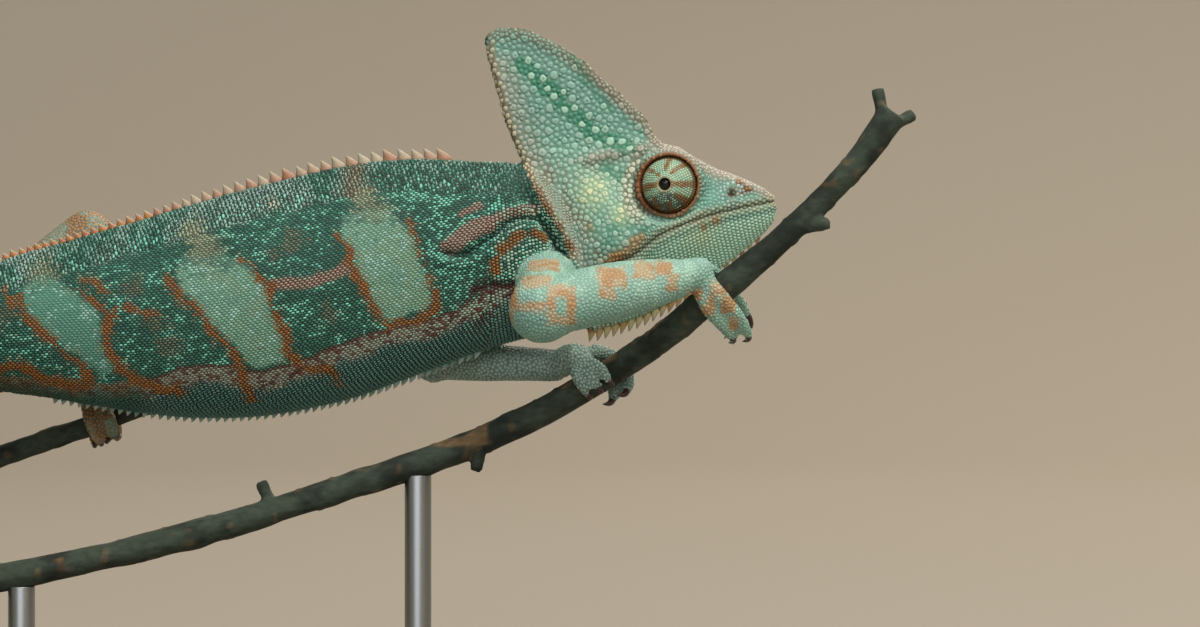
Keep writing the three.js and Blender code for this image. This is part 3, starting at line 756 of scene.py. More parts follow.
# x, height and size of pale veils at the tops of the patches, and of brown clouds between them
VEILS = [
    (-5.5, 141.5, 4.6), (-7.4, 146.0, 3.4), (-42.4, 133.6, 4.8), (-45.0, 137.6, 3.6), (-78.0, 128.4, 4.6),
]
CLOUDS = [
    (-22.8, 135.4, 3.6), (-26.5, 132.8, 2.2), (-57.4, 125.6, 3.6), (-53.2, 117.6, 2.8), (-49.6, 112.6, 3.6),
    (-14.6, 119.4, 2.6), (-10.0, 146.5, 2.4), (-88.0, 120.0, 4.0),
]
RUST_LINES = [  # lines of rusty scales with half their width, along the pale patches and near them
    ([(-13.3, 136.7), (-10.4, 133.4)], 0.35),
    ([(-10.4, 133.4), (-10.0, 130.5), (-9.0, 127.6), (-7.1, 125.1), (-5.7, 122.5), (-4.2, 119.6),
      (-2.8, 117.8), (-1.7, 116.7)], 0.75),
    ([(2.3, 140.3), (4.5, 134.2), (6.7, 127.6)], 0.2),
    ([(7.4, 126.0), (8.4, 123.6), (8.3, 120.6), (5.9, 119.0), (3.2, 117.6), (0.5, 117.9),
      (-1.7, 116.7)], 0.6),
    ([(-34.7, 131.6), (-31.5, 130.2), (-30.0, 127.3)], 0.4),
    ([(-30.0, 127.3), (-27.5, 125.1), (-27.6, 122.5), (-26.6, 119.6), (-25.1, 116.7), (-24.0, 114.2),
      (-24.0, 111.3), (-22.0, 109.1), (-19.8, 108.0), (-17.3, 107.7)], 0.85),
    ([(-17.3, 107.7), (-14.4, 107.3), (-13.2, 104.8)], 0.4),
    ([(-50.0, 127.3), (-47.8, 124.7), (-46.9, 122.4), (-44.7, 121.6), (-43.1, 120.0), (-41.1, 117.1),
      (-38.9, 114.4), (-36.5, 112.4), (-34.9, 110.2)], 0.65),
    ([(-34.9, 110.2), (-34.4, 108.0), (-33.5, 105.1), (-32.5, 101.5)], 0.95),
    ([(-83.0, 123.4), (-82.5, 120.9), (-81.1, 118.7), (-78.6, 116.8), (-76.7, 114.6), (-75.4, 113.3),
      (-74.0, 111.6), (-72.1, 110.3), (-69.9, 109.2), (-68.6, 107.6), (-68.0, 105.9)], 0.75),
    ([(-68.0, 105.9), (-68.3, 104.3), (-72.7, 103.8), (-75.4, 104.8), (-78.1, 105.4), (-80.8, 107.0),
      (-83.5, 108.1), (-86.3, 107.6), (-92.0, 106.4)], 1.15),
    ([(-69.9, 124.7), (-67.2, 123.1), (-65.0, 121.2), (-62.9, 119.8)], 0.5),
    ([(-62.9, 119.8), (-63.3, 116.8), (-63.4, 114.1), (-63.1, 111.4), (-62.3, 110.0), (-61.0, 108.7),
      (-60.1, 107.3), (-58.0, 105.7), (-56.1, 104.6), (-53.6, 103.5), (-50.9, 103.2), (-48.2, 102.7)], 0.95),
    ([(-68.8, 126.9), (-66.1, 126.3), (-64.5, 125.1), (-63.1, 124.2)], 0.5),
    ([(-62.9, 120.4), (-59.0, 120.9), (-56.3, 119.8), (-52.2, 119.3)], 0.4),
    ([(-86.4, 124.5), (-84.8, 122.0), (-83.0, 121.4)], 0.6),
    ([(21.7, 128.6), (21.4, 130.8), (22.6, 132.9), (24.1, 134.6), (25.8, 136.3)], 1.1),
    ([(25.8, 136.3), (28.4, 137.3), (30.8, 137.1), (32.3, 136.3)], 0.6),
]
MAUVE_BANDS = [  # lines of pinkish grey scales with half their width
    ([(-26.7, 126.2), (-23.8, 126.2), (-20.2, 126.0), (-17.3, 126.9), (-13.7, 128.3), (-10.8, 129.4)], 1.2),
    ([(11.5, 134.2), (13.9, 136.3), (16.6, 138.0), (20.0, 139.5)], 2.0),
    ([(20.0, 139.5), (23.6, 141.4), (27.2, 142.4), (30.4, 142.6)], 1.1),
    ([(14.2, 141.6), (17.8, 143.4)], 0.8),
]


def trunk_markings(where, number):
    x, z = where[:, 0], where[:, 2]
    below_back = trunk_at(x)[0] - z
    rows = np.stack([0.4 * x, where[:, 1], below_back], -1)  # drawn out along the rows of scales
    streaks, lumps, broad = noise(rows, 1.0, 1), noise(where, 2.6, 2), noise(where, 9, 3)
    ragged = 1.5 * (noise(where, 1.7, 4) - 0.5) + 0.6 * (number - 0.5)

    # Dark teal with brighter scales, in short runs along the rows.
    hide = Hide(where, "deep_teal", "dark_gap")
    score = number + 1.0 * (streaks - 0.5) + 0.6 * (lumps - 0.5)
    hide.tint("teal", 0.9 * ramp(score + 0.4 * (broad - 0.5), 0.2, 0.62))
    hide.tint("turquoise", 0.95 * ramp(score + 0.2 * ramp(x, -10, 10), 0.72, 0.98))
    hide.tint("smoky_teal", 0.85 * spots_at(where, (-15.0, 131.4, 2.2), (-21.8, 129.3, 1.9)))
    worn_cloud = 0.7 * (noise(where, 1.6, 9) - 0.5) + 0.5 * (number - 0.5)
    for cloud in CLOUDS:
        hide.tint("umber", 0.7 * ramp(spot(where, *cloud) + worn_cloud, 0.4, 0.8) * (0.5 + 0.6 * number))

    # Below the crest, a band of tall scales in grey and teal.
    band = ramp(below_back + 2.0 * (lumps - 0.5), 9.2, 7.4)
    columns = noise(where * np.array([1, 1, 0.25]), 0.9, 6)
    tall = Hide(where, "deep_teal", "dark_gap")
    tall.tint("teal", ramp(0.6 * columns + 0.7 * number, 0.4, 0.75))
    score = 0.8 * columns + 0.5 * number
    tall.tint("grey_teal", 0.95 * ramp(score, 0.62, 0.85))
    tall.tint("dark_gap", 0.7 * ramp(score, 0.5, 0.35))
    grey = ramp(noise(where * np.array([1, 0.6, 0.3]), 5.5, 7), 0.5, 0.72) * ramp(x, 14, -6)
    tall.tint("blue_grey", 0.55 * grey * (0.4 + number))
    tall.tint("turquoise", 0.7 * ramp(below_back, 2, 6) * (number > 0.84))
    tall.tint("umber", 0.6 * bell(x + 10.0, 2.6), "rust_gap")
    hide.scale = lerp(hide.scale, tall.scale, band[:, None])
    hide.between = lerp(hide.between, tall.between, band[:, None])
    hide.tint("bone", 0.75 * spot(where, -27.6, 143.6, 1.3) * band)

    # Pale patches with finely ruled scales and a few bright dots, browner and fainter at the top.
    for place in VEILS:
        veil = ramp(spot(where, *place) + 0.5 * (streaks - 0.5) + 0.6 * (number - 0.5), 0.35, 0.85)
        hide.tint("tan", 0.45 * veil, "umber")
        hide.tint("pale_green", 0.4 * veil)
    dots = ramp(0.75 * noise(where, 1.5, 8) + 0.35 * number, 0.68, 0.78)
    ruled = noise(np.stack([0.25 * x, where[:, 1], below_back], -1), 0.8, 10)
    for outline in PALE_PATCHES:
        edge = outline_distance(where, outline) + ragged
        top = max(place[1] for place in outline)
        worn = number + 0.8 * (streaks - 0.5) < 1.4 * ramp(z, top - 6, top + 1) - 0.2
        inside = ramp(edge, 0.35, -0.35) * lerp(1, 0.35, worn)
        hide.tint("pale_green", inside * (0.8 + 0.2 * number), "pale_gap")
        # Patches behind x -56 are painted darker teal: painted shade towards the rear of the body.
        hide.tint("teal", 0.6 * inside * ramp(x, -56, -66), "teal")
        hide.tint("belly_teal", 0.5 * inside * ramp(0.6 * number + 0.6 * ruled, 0.5, 0.2))
        hide.tint("straw", 0.35 * inside * ramp(lumps, 0.5, 0.75))
        hide.tint("sky", 0.7 * inside * dots)

    # A dark line under the flank's markings, then pinkish cells in a net of dark red, and the teal belly.
    over = z - lower_line_at(x) + 0.7 * (lumps - 0.5)
    under = ramp(over, 0.3, -0.3)
    _, net_edge = patches(where * np.array([1, 0.6, 1.3]), 2.7, 11)
    # The pink fades behind x -48, which darkens the rear underside as painted shade.
    hide.tint("blush", (0.9 - 0.5 * ramp(x, -48, -62)) * under * (0.6 + 0.4 * number), "umber")
    hide.tint("blue_grey", 0.6 * ramp(x, -30, 5) * under * number)
    hide.tint("grey_teal", 0.5 * under * number)
    net = ramp(over, 0, -0.4) * ramp(over, -5.4, -3.6) * ramp(net_edge, 0.26, 0.14)
    hide.tint("dark_red", 0.9 * net, "red_gap")
    hide.tint("belly_teal", ramp(over + 1.2 * ragged, -3.0, -4.8), "dark_gap")
    hide.tint("teal", 0.5 * ramp(over, -4, -6) * (number > 0.6))
    behind = ramp(x, -52, -60)
    rusty = behind * ramp(over, 0.5, -0.5) * ramp(over, -7, -4) * ramp(noise(where, 3, 12), 0.4, 0.6)
    hide.tint("rust", 0.5 * rusty, "rust_gap")
    # Painted shade under the rear of the body: behind x -52 the belly is painted deep teal, and behind x -64
    # the low flank and belly darken further.
    hide.tint("deep_teal", 0.95 * behind * ramp(over, -0.5, -4), "dark_gap")
    hide.tint("dark_gap", 0.5 * ramp(x, -64, -78) * ramp(over, 0.5, -2))
    hide.tint("dark_red", 0.9 * (1 - behind) * bell(over, 0.36), "red_gap")

    for line, half_width in MAUVE_BANDS:
        outside = line_distance(where, line) + 0.6 * ragged - half_width
        hide.tint("mauve", 0.9 * ramp(outside, 0.4, -0.4) * (0.8 + 0.3 * number), "rust_gap")
    for line, half_width in RUST_LINES:
        outside = line_distance(where, line) + ragged - half_width
        amount = np.maximum(ramp(outside, 0.4, -0.4), 0.6 * ramp(outside, 2.4, 0) * (number > 0.78))
        hide.tint("rust", amount, "rust_gap")
        hide.tint("orange", 0.6 * amount * ramp(number, 0.66, 0.8))
        hide.tint("umber", 0.6 * amount * ramp(number, 0.3, 0.15))

    # Neck and shoulder: plain dark scales behind the casque, and the dark creases of the folds.
    hide.tint("deep_teal", 0.7 * ramp(x, 21, 27) * ramp(z, 142, 145))
    arc = line_distance(where, RUST_LINES[-2][0] + RUST_LINES[-1][0][1:])
    below_fold = ramp(arc, 8.0, 5.0) * ramp(arc, 1.0, 1.6) * ramp(x, 20, 23) * (z > 126)
    hide.tint("mint", 0.85 * below_fold * ramp(np.sin(arc * 5.2) + 1.2 * (number - 0.5), -0.4, 0.2))
    # Painted shade in the creases: the neck fold and the shoulder crease are darkened along their lines.
    hide.tint("dark_gap", 0.85 * bell(line_distance(where, NECK_FOLD), 0.7), "dark_gap")
    hide.tint("red_gap", 0.95 * bell(line_distance(where, SHOULDER_CREASE), 0.9), "red_gap")
    near_arm = spot(where, 18.0, 121.6, 5.0)
    hide.tint("mint", 0.6 * near_arm * ramp(net_edge, 0.3, 0.5) * (z < lower_line_at(x)))
    hide.tint("dark_red", 0.95 * near_arm * ramp(net_edge, 0.45, 0.2), "red_gap")
    return hide


CASQUE_BAND = [
    (26.6, 174.8), (29.7, 172.8), (33.7, 169.0), (36.6, 166.0), (39.8, 162.8), (43.0, 159.9), (50.4, 156.2),
]
FRONT_BAND = [(38.6, 176.8), (40.8, 172.4), (42.2, 170.2), (47.0, 164.3)]
CHEEK_BAND = [(44.4, 152.2), (49.6, 149.6)]
ORANGE_STRIPE = [(44.9, 129.4), (47.4, 131.2), (50.0, 133.4), (51.9, 135.3), (53.4, 136.4)]
GREEN_SPOTS = [
    (47.7, 138.1, 1.8), (46.2, 134.8, 1.8), (54.4, 138.4, 1.3), (43.2, 137.6, 1.4), (50.6, 139.6, 1.2),
]
TUBERCLE_NUMBER = 0.8  # tubercles draw their numbers from here up, so that markings can single them out


def head_markings(where, number):
    x, z = where[:, 0], where[:, 2]
    ahead = x - rear_edge_at(z)
    crown = crown_depth(where)
    broad, lumps = noise(where, 6, 21), noise(where, 2.2, 22)
    warp = 1.4 * (noise(where, 2.6, 23) - 0.5)
    knob = (number > TUBERCLE_NUMBER).astype(float)
    casque = z > 157
    hide = Hide(where, "sage", "sage")
    hide.tint("pale_mint", 0.2 * number)
    hide.tint("grey_teal", 0.65 * ramp(x, 60, 68))
    hide.tint("blush", 0.35 * ramp(broad + 0.6 * (number - 0.5), 0.5, 0.8) * bell(z - 158, 9))
    hide.tint("grey_teal", 0.5 * ramp(lumps, 0.45, 0.2) * ramp(z, 150, 142))
    hide.tint("aqua", 0.3 * ramp(lumps, 0.55, 0.8))
    hide.tint("grey_teal", 0.8 * ramp(z, 153, 162) * (1 - 0.4 * number))

    # Casque: pinkish grey edges, cream and rust along the rear one.
    hide.tint("blush", 0.7 * ramp(crown + warp, 4.4, 2.4) * casque * ramp(z, 180, 172))
    hide.tint("olive", 0.35 * ramp(crown + warp, 3.0, 1.4) * casque)
    rear_rim = ramp(ahead + 0.4 * warp, 2.4, 0.8) * ramp(crown, 1.0, 4.0)
    hide.tint("blush", 0.5 * ramp(ahead + warp, 8, 2.5) * ramp(crown, 4, 9))
    hide.tint("cream", 0.8 * rear_rim)

    # Cheek: yellowish cream, greener towards the jaw.
    creamy = spots_at(where, (43.0, 146.4, 3.6), (48.7, 141.3, 2.4))
    hide.tint("yellow_cream", 0.7 * creamy * (0.5 + number))
    hide.tint("blush", 0.75 * bell(line_distance(where, TEMPLE_RIDGE), 1.6))

    # Muzzle: a pinkish brow ridge and canthus, and pale lips.
    hide.tint("blush", 0.85 * ramp(crown + warp, 3.4, 1.4) * ramp(x, 54, 57))
    hide.tint("blush", 0.4 * bell(line_distance(where, CANTHUS), 1.0))
    hide.tint("grey_teal", 0.4 * ramp(crown, 3, 5) * ramp(x, 64, 68) * (1 - number))
    mouth = line_distance(where, MOUTH_LINE)
    lip = z - mouth_at(x)
    jaw = ramp(lip, -0.5, -2.5)
    hide.tint("cream", 0.55 * bell(mouth - 0.9, 0.6))
    hide.tint("pale_mint", (0.8 + 0.3 * number) * jaw)
    hide.tint("yellow_cream", 0.5 * jaw * spot(where, 66.5, 136.6, 3.4))

    # The skin between these scales is a darker tone of their own colour, and redder behind the cheek.
    tone = lerp(np.array([0.62, 0.8, 0.73]), np.array([0.68, 0.82, 0.78]), jaw[:, None])
    hide.between = lerp(tone, 0.85, 0.6 * ramp(z, 160, 172)[:, None]) * hide.scale
    net = ramp(ahead + warp, 10, 6) * ramp(z, 160, 152) * ramp(lumps, 0.3, 0.6)
    for name, amount in (("brown", 0.7 * net), ("rust_gap", 0.6 * rear_rim),
                         ("olive", 0.7 * ramp(crown, 4.4, 2.4) * casque)):
        hide.between = paint(hide.between, name, amount)

    # Deep green bands with pale tubercles in them.
    for line, half_width, depth in ((CASQUE_BAND, 1.8, 1.0), (FRONT_BAND, 0.8, 0.6), (CHEEK_BAND, 1.2, 0.7)):
        band = depth * ramp(line_distance(where, line) + warp - half_width, 0.7, -0.6)
        hide.tint("casque_green", 0.85 * band * (1 - knob), "casque_green")
        hide.tint("mint", 0.85 * band * knob)
    for place in GREEN_SPOTS:
        hide.tint("casque_green", 0.6 * spot(where, *place) * (1 - knob), "casque_green")

    # Orange above the corner of the mouth and on the jaw, rust on the rear rim and round the nostril.
    stripe = ramp(line_distance(where, ORANGE_STRIPE) + 0.8 * warp, 1.9, 0.6)
    hide.tint("orange", 0.85 * stripe * (0.6 + 0.5 * lumps), "rust")
    hide.tint("rust", 0.8 * rear_rim * ramp(z, 151, 143) * ramp(lumps, 0.3, 0.6), "rust_gap")
    hide.tint("orange", 0.8 * spots_at(where, (69.9, 140.0, 1.1), (67.2, 138.6, 0.9)), "rust")
    hide.tint("peach", 0.5 * spot(where, 66.0, 140.8, 1.6) * ramp(lumps, 0.35, 0.6))
    hide.tint("tan", 0.7 * spot(where, 42.0, 138.6, 1.3))
    blotch = spots_at(where, (76.6, 147.0, 1.7), (75.2, 148.6, 1.0))
    hide.tint("rust", 0.95 * ramp(blotch + 0.4 * (number - 0.5), 0.4, 0.75), "rust_gap")
    from_nostril = np.hypot(x - NOSTRIL[0], z - NOSTRIL[1])
    hide.tint("sky", 0.7 * bell(from_nostril - 2.3, 0.5))
    hide.tint("blush", 0.9 * bell(from_nostril - 1.3, 0.7))
    # The nostril's pit is painted dark brown: painted shade in the opening.
    hide.tint("brown", 0.95 * bell(from_nostril, 0.9), "rust_gap")
    hide.tint("rust", 0.7 * bell(mouth, 0.4), "rust_gap")

    # Round the eye the fold is rust brown, with an olive crescent behind it.
    radius, _, angle, _ = on_eye(where)
    beside_eye = np.abs(where[:, 1]) > 3
    behind = ramp(np.cos(angle - math.radians(185)), 0.45, 0.8)
    hide.tint("bone", 0.75 * bell(radius - 9.4, 1.2) * behind * beside_eye, "umber")
    hide.tint("olive", 0.75 * ramp(radius, 8.6, 8.0) * behind * beside_eye, "rust_gap")
    hide.tint("ring_rust", 0.85 * ramp(radius, 7.5, 7.0) * beside_eye, "ring_rust")
    # The groove between the fold and the turret is painted near black: painted shade in the groove.
    hide.tint("red_gap", 0.8 * ramp(radius, 6.55, 6.3) * beside_eye, "red_gap")
    return hide


ARM_PATCHES = [  # the near arm's peach patches: middle and half size, seen from the side
    (32.1, 130.1, 3.3, 1.1), (30.7, 126.3, 3.3, 1.2), (26.0, 122.9, 1.0, 2.2), (28.9, 121.0, 3.8, 0.9),
    (36.1, 124.3, 2.8, 1.4), (34.0, 121.4, 0.9, 2.6), (38.3, 121.0, 0.9, 2.4), (36.4, 118.3, 2.8, 0.8),
    (24.9, 118.1, 0.8, 1.7), (46.9, 127.2, 2.9, 2.1), (46.0, 124.0, 1.8, 1.2), (53.7, 128.9, 2.0, 1.7),
    (58.1, 129.3, 1.6, 1.5), (60.0, 126.2, 1.0, 1.6), (70.0, 125.1, 1.6, 1.3), (72.1, 121.5, 1.6, 1.8),
    (68.6, 122.3, 0.9, 1.8), (64.9, 123.6, 1.5, 1.0), (67.4, 120.4, 1.5, 1.1), (73.4, 117.4, 0.8, 1.4),
]


def limb_markings(where, number, region):
    """Limbs in grey mint, with blocks of peach over it on all but the far arm, which is plain."""
    x, z = where[:, 0], where[:, 2]
    lumps = noise(where, 2.0, 42)
    hide = Hide(where, "sage", "sage")
    hide.tint("sky", 0.15 * number + 0.2 * ramp(noise(where, 4.5, 45), 0.5, 0.7))
    hide.tint("pale_mint", 0.45 * ramp(noise(where * np.array([1.6, 1, 0.6]), 2.2, 47), 0.55, 0.7))
    if region == "arm_left":
        hide.tint("blue_grey", 0.5 + 0.3 * ramp(noise(where, 3, 43), 0.5, 0.7))
        hide.between = 0.55 * hide.scale
        return hide
    ragged = 0.9 * (noise(where, 1.3, 46) - 0.5) + 0.5 * (number - 0.5)
    if region == "arm_right":
        blocks = np.zeros(len(where))
        for patch_x, patch_z, half_width, half_height in ARM_PATCHES:
            outside = np.maximum(np.abs(x - patch_x) - half_width, np.abs(z - patch_z) - half_height)
            blocks = np.maximum(blocks, ramp(outside + ragged, 0.5, -0.4))
        blocks = blocks * (where[:, 1] < -2)
        # The near arm's lower side, below a slanting line, is painted grey teal: mostly painted shade under
        # the arm.
        hide.tint("grey_teal", 0.5 * ramp(z + 0.15 * (x - 44), 124, 118) * ramp(x, 74, 66))
        hide.tint("aqua", 0.35 * (1 - number))
    else:
        hide.tint("grey_teal", 0.45 + 0.3 * number)
        cell, edge = patches(where * np.array([0.8, 1, 1.3]), 5.0, 41)
        uneven = lumps - 0.5
        blocks = ramp(cell + 0.2 * uneven, 0.5, 0.58) * ramp(edge + 0.3 * uneven, 0.1, 0.5)
    hide.tint("peach", 0.75 * blocks)
    hide.tint("orange", 0.5 * blocks * ramp(lumps, 0.45, 0.65))
    hide.between = 0.88 * hide.scale
    if region == "leg_left":
        # The far hind leg is painted brown and darker all over: partly its own colour, partly painted shade
        # where it lies behind the body.
        hide.tint("tan", 0.3 + 0.1 * number)
        hide.tint("umber", 0.6 + 0.4 * (1 - number))
        rusty = ramp(noise(where, 2.2, 44) + 0.3 * (number - 0.5), 0.42, 0.55)
        hide.tint("orange", 0.7 * rusty, "rust_gap")
    return hide


def tail_markings(where, number):
    from_root = np.hypot(where[:, 0] + 112, where[:, 2] - 111)
    bands = 0.5 + 0.5 * np.sin(2 * math.pi * (from_root + 3 * noise(where, 5, 51)) / 17)
    hide = Hide(where, "deep_teal", "dark_gap")
    hide.tint("teal", 0.3 + 0.6 * number)
    hide.tint("turquoise", 0.7 * ramp(number + 0.4 * (noise(where, 2.4, 2) - 0.5), 0.68, 0.8))
    hide.tint("pale_green", 0.85 * ramp(bands, 0.55, 0.75), "pale_gap")
    hide.tint("rust", 0.75 * bell(bands - 0.5, 0.16), "rust_gap")
    return hide


def markings(where, number, region):
    """Each point's colours: its scale's, and that of the skin beside the scale."""
    scale, between = np.empty((len(where), 3)), np.empty((len(where), 3))
    in_front = where[:, 0] > rear_edge_at(where[:, 2])
    body = (region == "trunk") | (region == "head")
    painters = [(body & ~in_front, trunk_markings), (body & in_front, head_markings),
                (region == "tail", tail_markings)]
    painters += [(region == name, partial(limb_markings, region=name)) for name in LIMBS]
    for chosen, painter in painters:
        if chosen.any():
            hide = painter(where[chosen], number[chosen])
            scale[chosen], between[chosen] = hide.scale, hide.between
    return scale, between


# ------------------------------------------------------------ scales
# Each zone of the hide: the steps between neighbouring scales along its form and round it, how far its
# columns lean, a scale's height, and the gaps between scales along the form and round it, in millimetres.
# Its scales stand in columns round the form, in rows along it, or loose.
ZONES = {
    "flank": dict(step=(1.05, 0.53), lean=0, height=0.14, gaps=(0.14, 0.1), rows=True),
    "crest": dict(step=(0.88, 1.7), lean=0.3, height=0.24, gaps=(0.22, 0.12)),
    "belly": dict(step=(1.0, 0.62), lean=0.45, height=0.3, gaps=(0.34, 0.1)),
    "neck": dict(step=(0.85, 0.72), lean=0.1, height=0.26, gaps=(0.14, 0.14)),
    "jaw": dict(step=(0.98, 0.88), lean=0.2, height=0.2, gaps=(0.14, 0.14)),
    "plates": dict(step=(1.2, 1.2), lean=0, height=0.09, gaps=(0.07, 0.07), loose=True),
    "muzzle": dict(step=(0.86, 0.86), lean=0, height=0.09, gaps=(0.07, 0.07), loose=True),
    "limb": dict(step=(0.8, 0.8), lean=0, height=0.07, gaps=(0.06, 0.06), loose=True),
    "toe": dict(step=(0.74, 0.74), lean=0, height=0.1, gaps=(0.1, 0.1), loose=True),
}
CANDIDATE_STEP = 0.42  # between the places tried for a granule
GRANULE_ROOM = 0.86  # how near two granules may stand, as a share of their zone's step
GRANULE_LARGEST = 1.1
TUBERCLE_SIZES = (1.35, 2.0)
TUBERCLE_LEAST = 1.12  # a scale that is wider than this is a tubercle
TUBERCLE_APART = 2.15
TUBERCLE_HEIGHT = 0.2
SKIN_REACH = 2.2  # how far from the skin a form's scales may start
FILLER = dict(size=0.8, height=0.24, apart=0.78)  # the small scales that fill the joints between forms
JITTER = 0.16  # how far a scale strays, as a share of the step


def zone_of(where, form):
    """The name of each place's zone on that form."""
    if form.region not in ("trunk", "head"):
        return np.full(len(where), form.zones[0])
    x, z = where[:, 0], where[:, 2]
    ruffle = 1.2 * (noise(where, 3.0, 64) - 0.5)
    if form.region == "head":
        fine = (x + ruffle > 56.5) | (crown_depth(where) + ruffle < 2.2) & (z > 150)
        zones = np.where(fine, "muzzle", "plates")
        zones[(z + ruffle < mouth_at(x) + 2.2) & (x > 47) | (z + ruffle < 128)] = "jaw"
        return zones
    zones = np.where(trunk_at(x)[0] - z + ruffle < 8.0, "crest", "flank")
    zones[z < lower_line_at(x) - 3.8 + ruffle] = "belly"
    zones[(x + ruffle > 20) & (zones != "crest") | (x > 30)] = "neck"
    return zones


class Scales:
    """Many scales, each with its place on the skin, its lie, its size and where it is on its form's chart."""

    FIELDS = ("place", "normal", "along", "length", "width", "height", "gaps", "number", "chart", "form")

    def __init__(self, **fields):
        for name in self.FIELDS:
            setattr(self, name, np.asarray(fields[name]))

    def __len__(self):
        return len(self.place)

    def where(self, chosen):
        return Scales(**{name: getattr(self, name)[chosen] for name in self.FIELDS})

    @classmethod
    def together(cls, parts):
        return cls(**{name: np.concatenate([getattr(p, name) for p in parts]) for name in cls.FIELDS})


def on_rings(rings, ring, turn):
    """Points on a form at fractional ring numbers and fractional places round the ring."""
    last, sides = len(rings) - 1, rings.shape[1]
    ring = np.clip(ring, 0, last - 1e-6)
    i, j = ring.astype(int), np.floor(turn).astype(int)
    s, t = (ring - i)[:, None], (turn - j)[:, None]
    near, far = (lerp(rings[k, j % sides], rings[k, (j + 1) % sides], t) for k in (i, i + 1))
    return lerp(near, far, s)


def lattice(form, step, lean, rows=False):
    """Staggered places over a form, in columns round it or else in rows along it. Their chart is in
    millimetres along and round it, from the line or lines where they start, and the number of that line."""
    rings = form.rings
    last, sides = len(rings) - 1, rings.shape[1]
    steps = np.linalg.norm(np.diff(rings, axis=0), axis=2).mean(1)
    travelled = np.concatenate([[0], np.cumsum(steps)])
    anchors = [sides // 4, 3 * sides // 4] if form.region in ("trunk", "head") else [0]
    reach = sides // (2 * len(anchors))
    places, alongs, charts = [], [], []
    for row, station in enumerate(np.arange(0.5 * step[0], travelled[-1], step[0])):
        ring = rings[int(np.interp(station, travelled, np.arange(last + 1)))]
        for column, anchor in enumerate(anchors):
            for way in (1, -1):
                loop = (anchor + way * np.arange(reach + 1)) % sides
                gone = np.concatenate([[0], np.cumsum(np.linalg.norm(np.diff(ring[loop], axis=0), axis=1))])
                start = 0.5 if rows else 0.25 if (row % 2 == 0) == (way == 1) else 0.75
                marks = np.arange(start * step[1], gone[-1], step[1])
                count = len(marks)
                odd = 0.5 * step[0] * ((np.arange(count) + (way == 1)) % 2) if rows else 0
                key = np.stack([np.full(count, row), np.arange(count), np.full(count, 2 * column + way)], -1)
                shift = np.stack([lattice_random(key, 65), lattice_random(key, 66)]) - 0.5
                marks = np.clip(marks + JITTER * step[1] * shift[0], 0, gone[-1])
                down = way if column == 0 else -way
                stations = station + odd + lean * down * marks + JITTER * step[0] * shift[1]
                number = np.interp(stations, travelled, np.arange(last + 1))
                turn = anchor + way * np.interp(marks, gone, np.arange(reach + 1))
                places.append(on_rings(rings, number, turn))
                alongs.append(on_rings(rings, number + 1, turn) - on_rings(rings, number - 1, turn))
                charts.append(np.stack([stations, way * marks, np.full(count, column)], -1))
    return np.vstack(places), unit(np.vstack(alongs)), np.vstack(charts)


def scales_on(form, index):
    """The scales that grow on one form, before they are brought down onto the skin."""
    parts = []
    for name in form.zones:
        zone = ZONES[name]
        step = zone["step"]
        loose = "loose" in zone
        tried = (CANDIDATE_STEP, CANDIDATE_STEP) if loose else step
        places, alongs, charts = lattice(form, tried, zone["lean"], "rows" in zone)
        inside = np.flatnonzero(zone_of(places, form) == name)
        places, alongs, charts = places[inside], alongs[inside], charts[inside]
        count = len(places)
        size = np.tile(np.array(step, float), (count, 1))
        height = np.full(count, zone["height"])
        if loose:
            big, granules = scatter(places, GRANULE_ROOM * step[0], name == "plates")
            granule_sizes = np.full(len(granules), min(step[0], GRANULE_LARGEST))
            diameters = np.concatenate([tubercle_sizes(places[big]), granule_sizes])
            chosen = np.concatenate([big, granules])
            places, alongs, charts = places[chosen], alongs[chosen], charts[chosen]
            size = np.stack([diameters, diameters], -1)
            height = np.where(np.arange(len(chosen)) < len(big), TUBERCLE_HEIGHT, zone["height"])
            count = len(chosen)
        parts.append(Scales(place=places, normal=alongs, along=alongs, length=size[:, 0], width=size[:, 1],
                            height=height, gaps=np.tile(zone["gaps"], (count, 1)), number=np.zeros(count),
                            chart=charts, form=np.full(count, index)))
    return Scales.together(parts)


def tubercle_sizes(places):
    casque = ramp(places[:, 2], 150, 156)
    return lerp(*TUBERCLE_SIZES, lattice_random(np.round(places * 13), 72)) * lerp(0.85, 1, casque)


def scatter(places, reach, tubercles):
    """Picks places for tubercles, if there are any, and then for granules between them, `reach` apart."""
    big, free = np.empty(0, int), np.arange(len(places))
    if tubercles:
        x, z = places[:, 0], places[:, 2]
        ahead, crown = x - rear_edge_at(z), crown_depth(places)
        casque = ramp(z, 150, 156) * ramp(crown, 1.2, 3)
        cheek = ramp(x, 58, 53) * (1 - casque) * ramp(z, 128, 133)
        band = np.maximum(ramp(line_distance(places, CASQUE_BAND), 3.4, 2.0),
                          ramp(line_distance(places, CHEEK_BAND), 2.4, 1.4))
        chance = np.where(ahead > 2.2, 0.14 * casque + 0.8 * band + 0.12 * cheek, 0)
        lottery = lattice_random(np.round(places * 17), 71)
        candidates = np.flatnonzero(lottery < chance)
        big = candidates[spread_out(places[candidates], np.argsort(lottery[candidates]), TUBERCLE_APART)]
        tree = kd_tree(places[big])
        near = np.array([tree.find(p)[1:] for p in places.tolist()])
        free = np.flatnonzero(near[:, 1] > 0.5 * tubercle_sizes(places[big])[near[:, 0].astype(int)] + 0.42)
    order = np.argsort(lattice_random(np.round(places[free] * 29), 73))
    return big, free[spread_out(places[free], order, reach)]


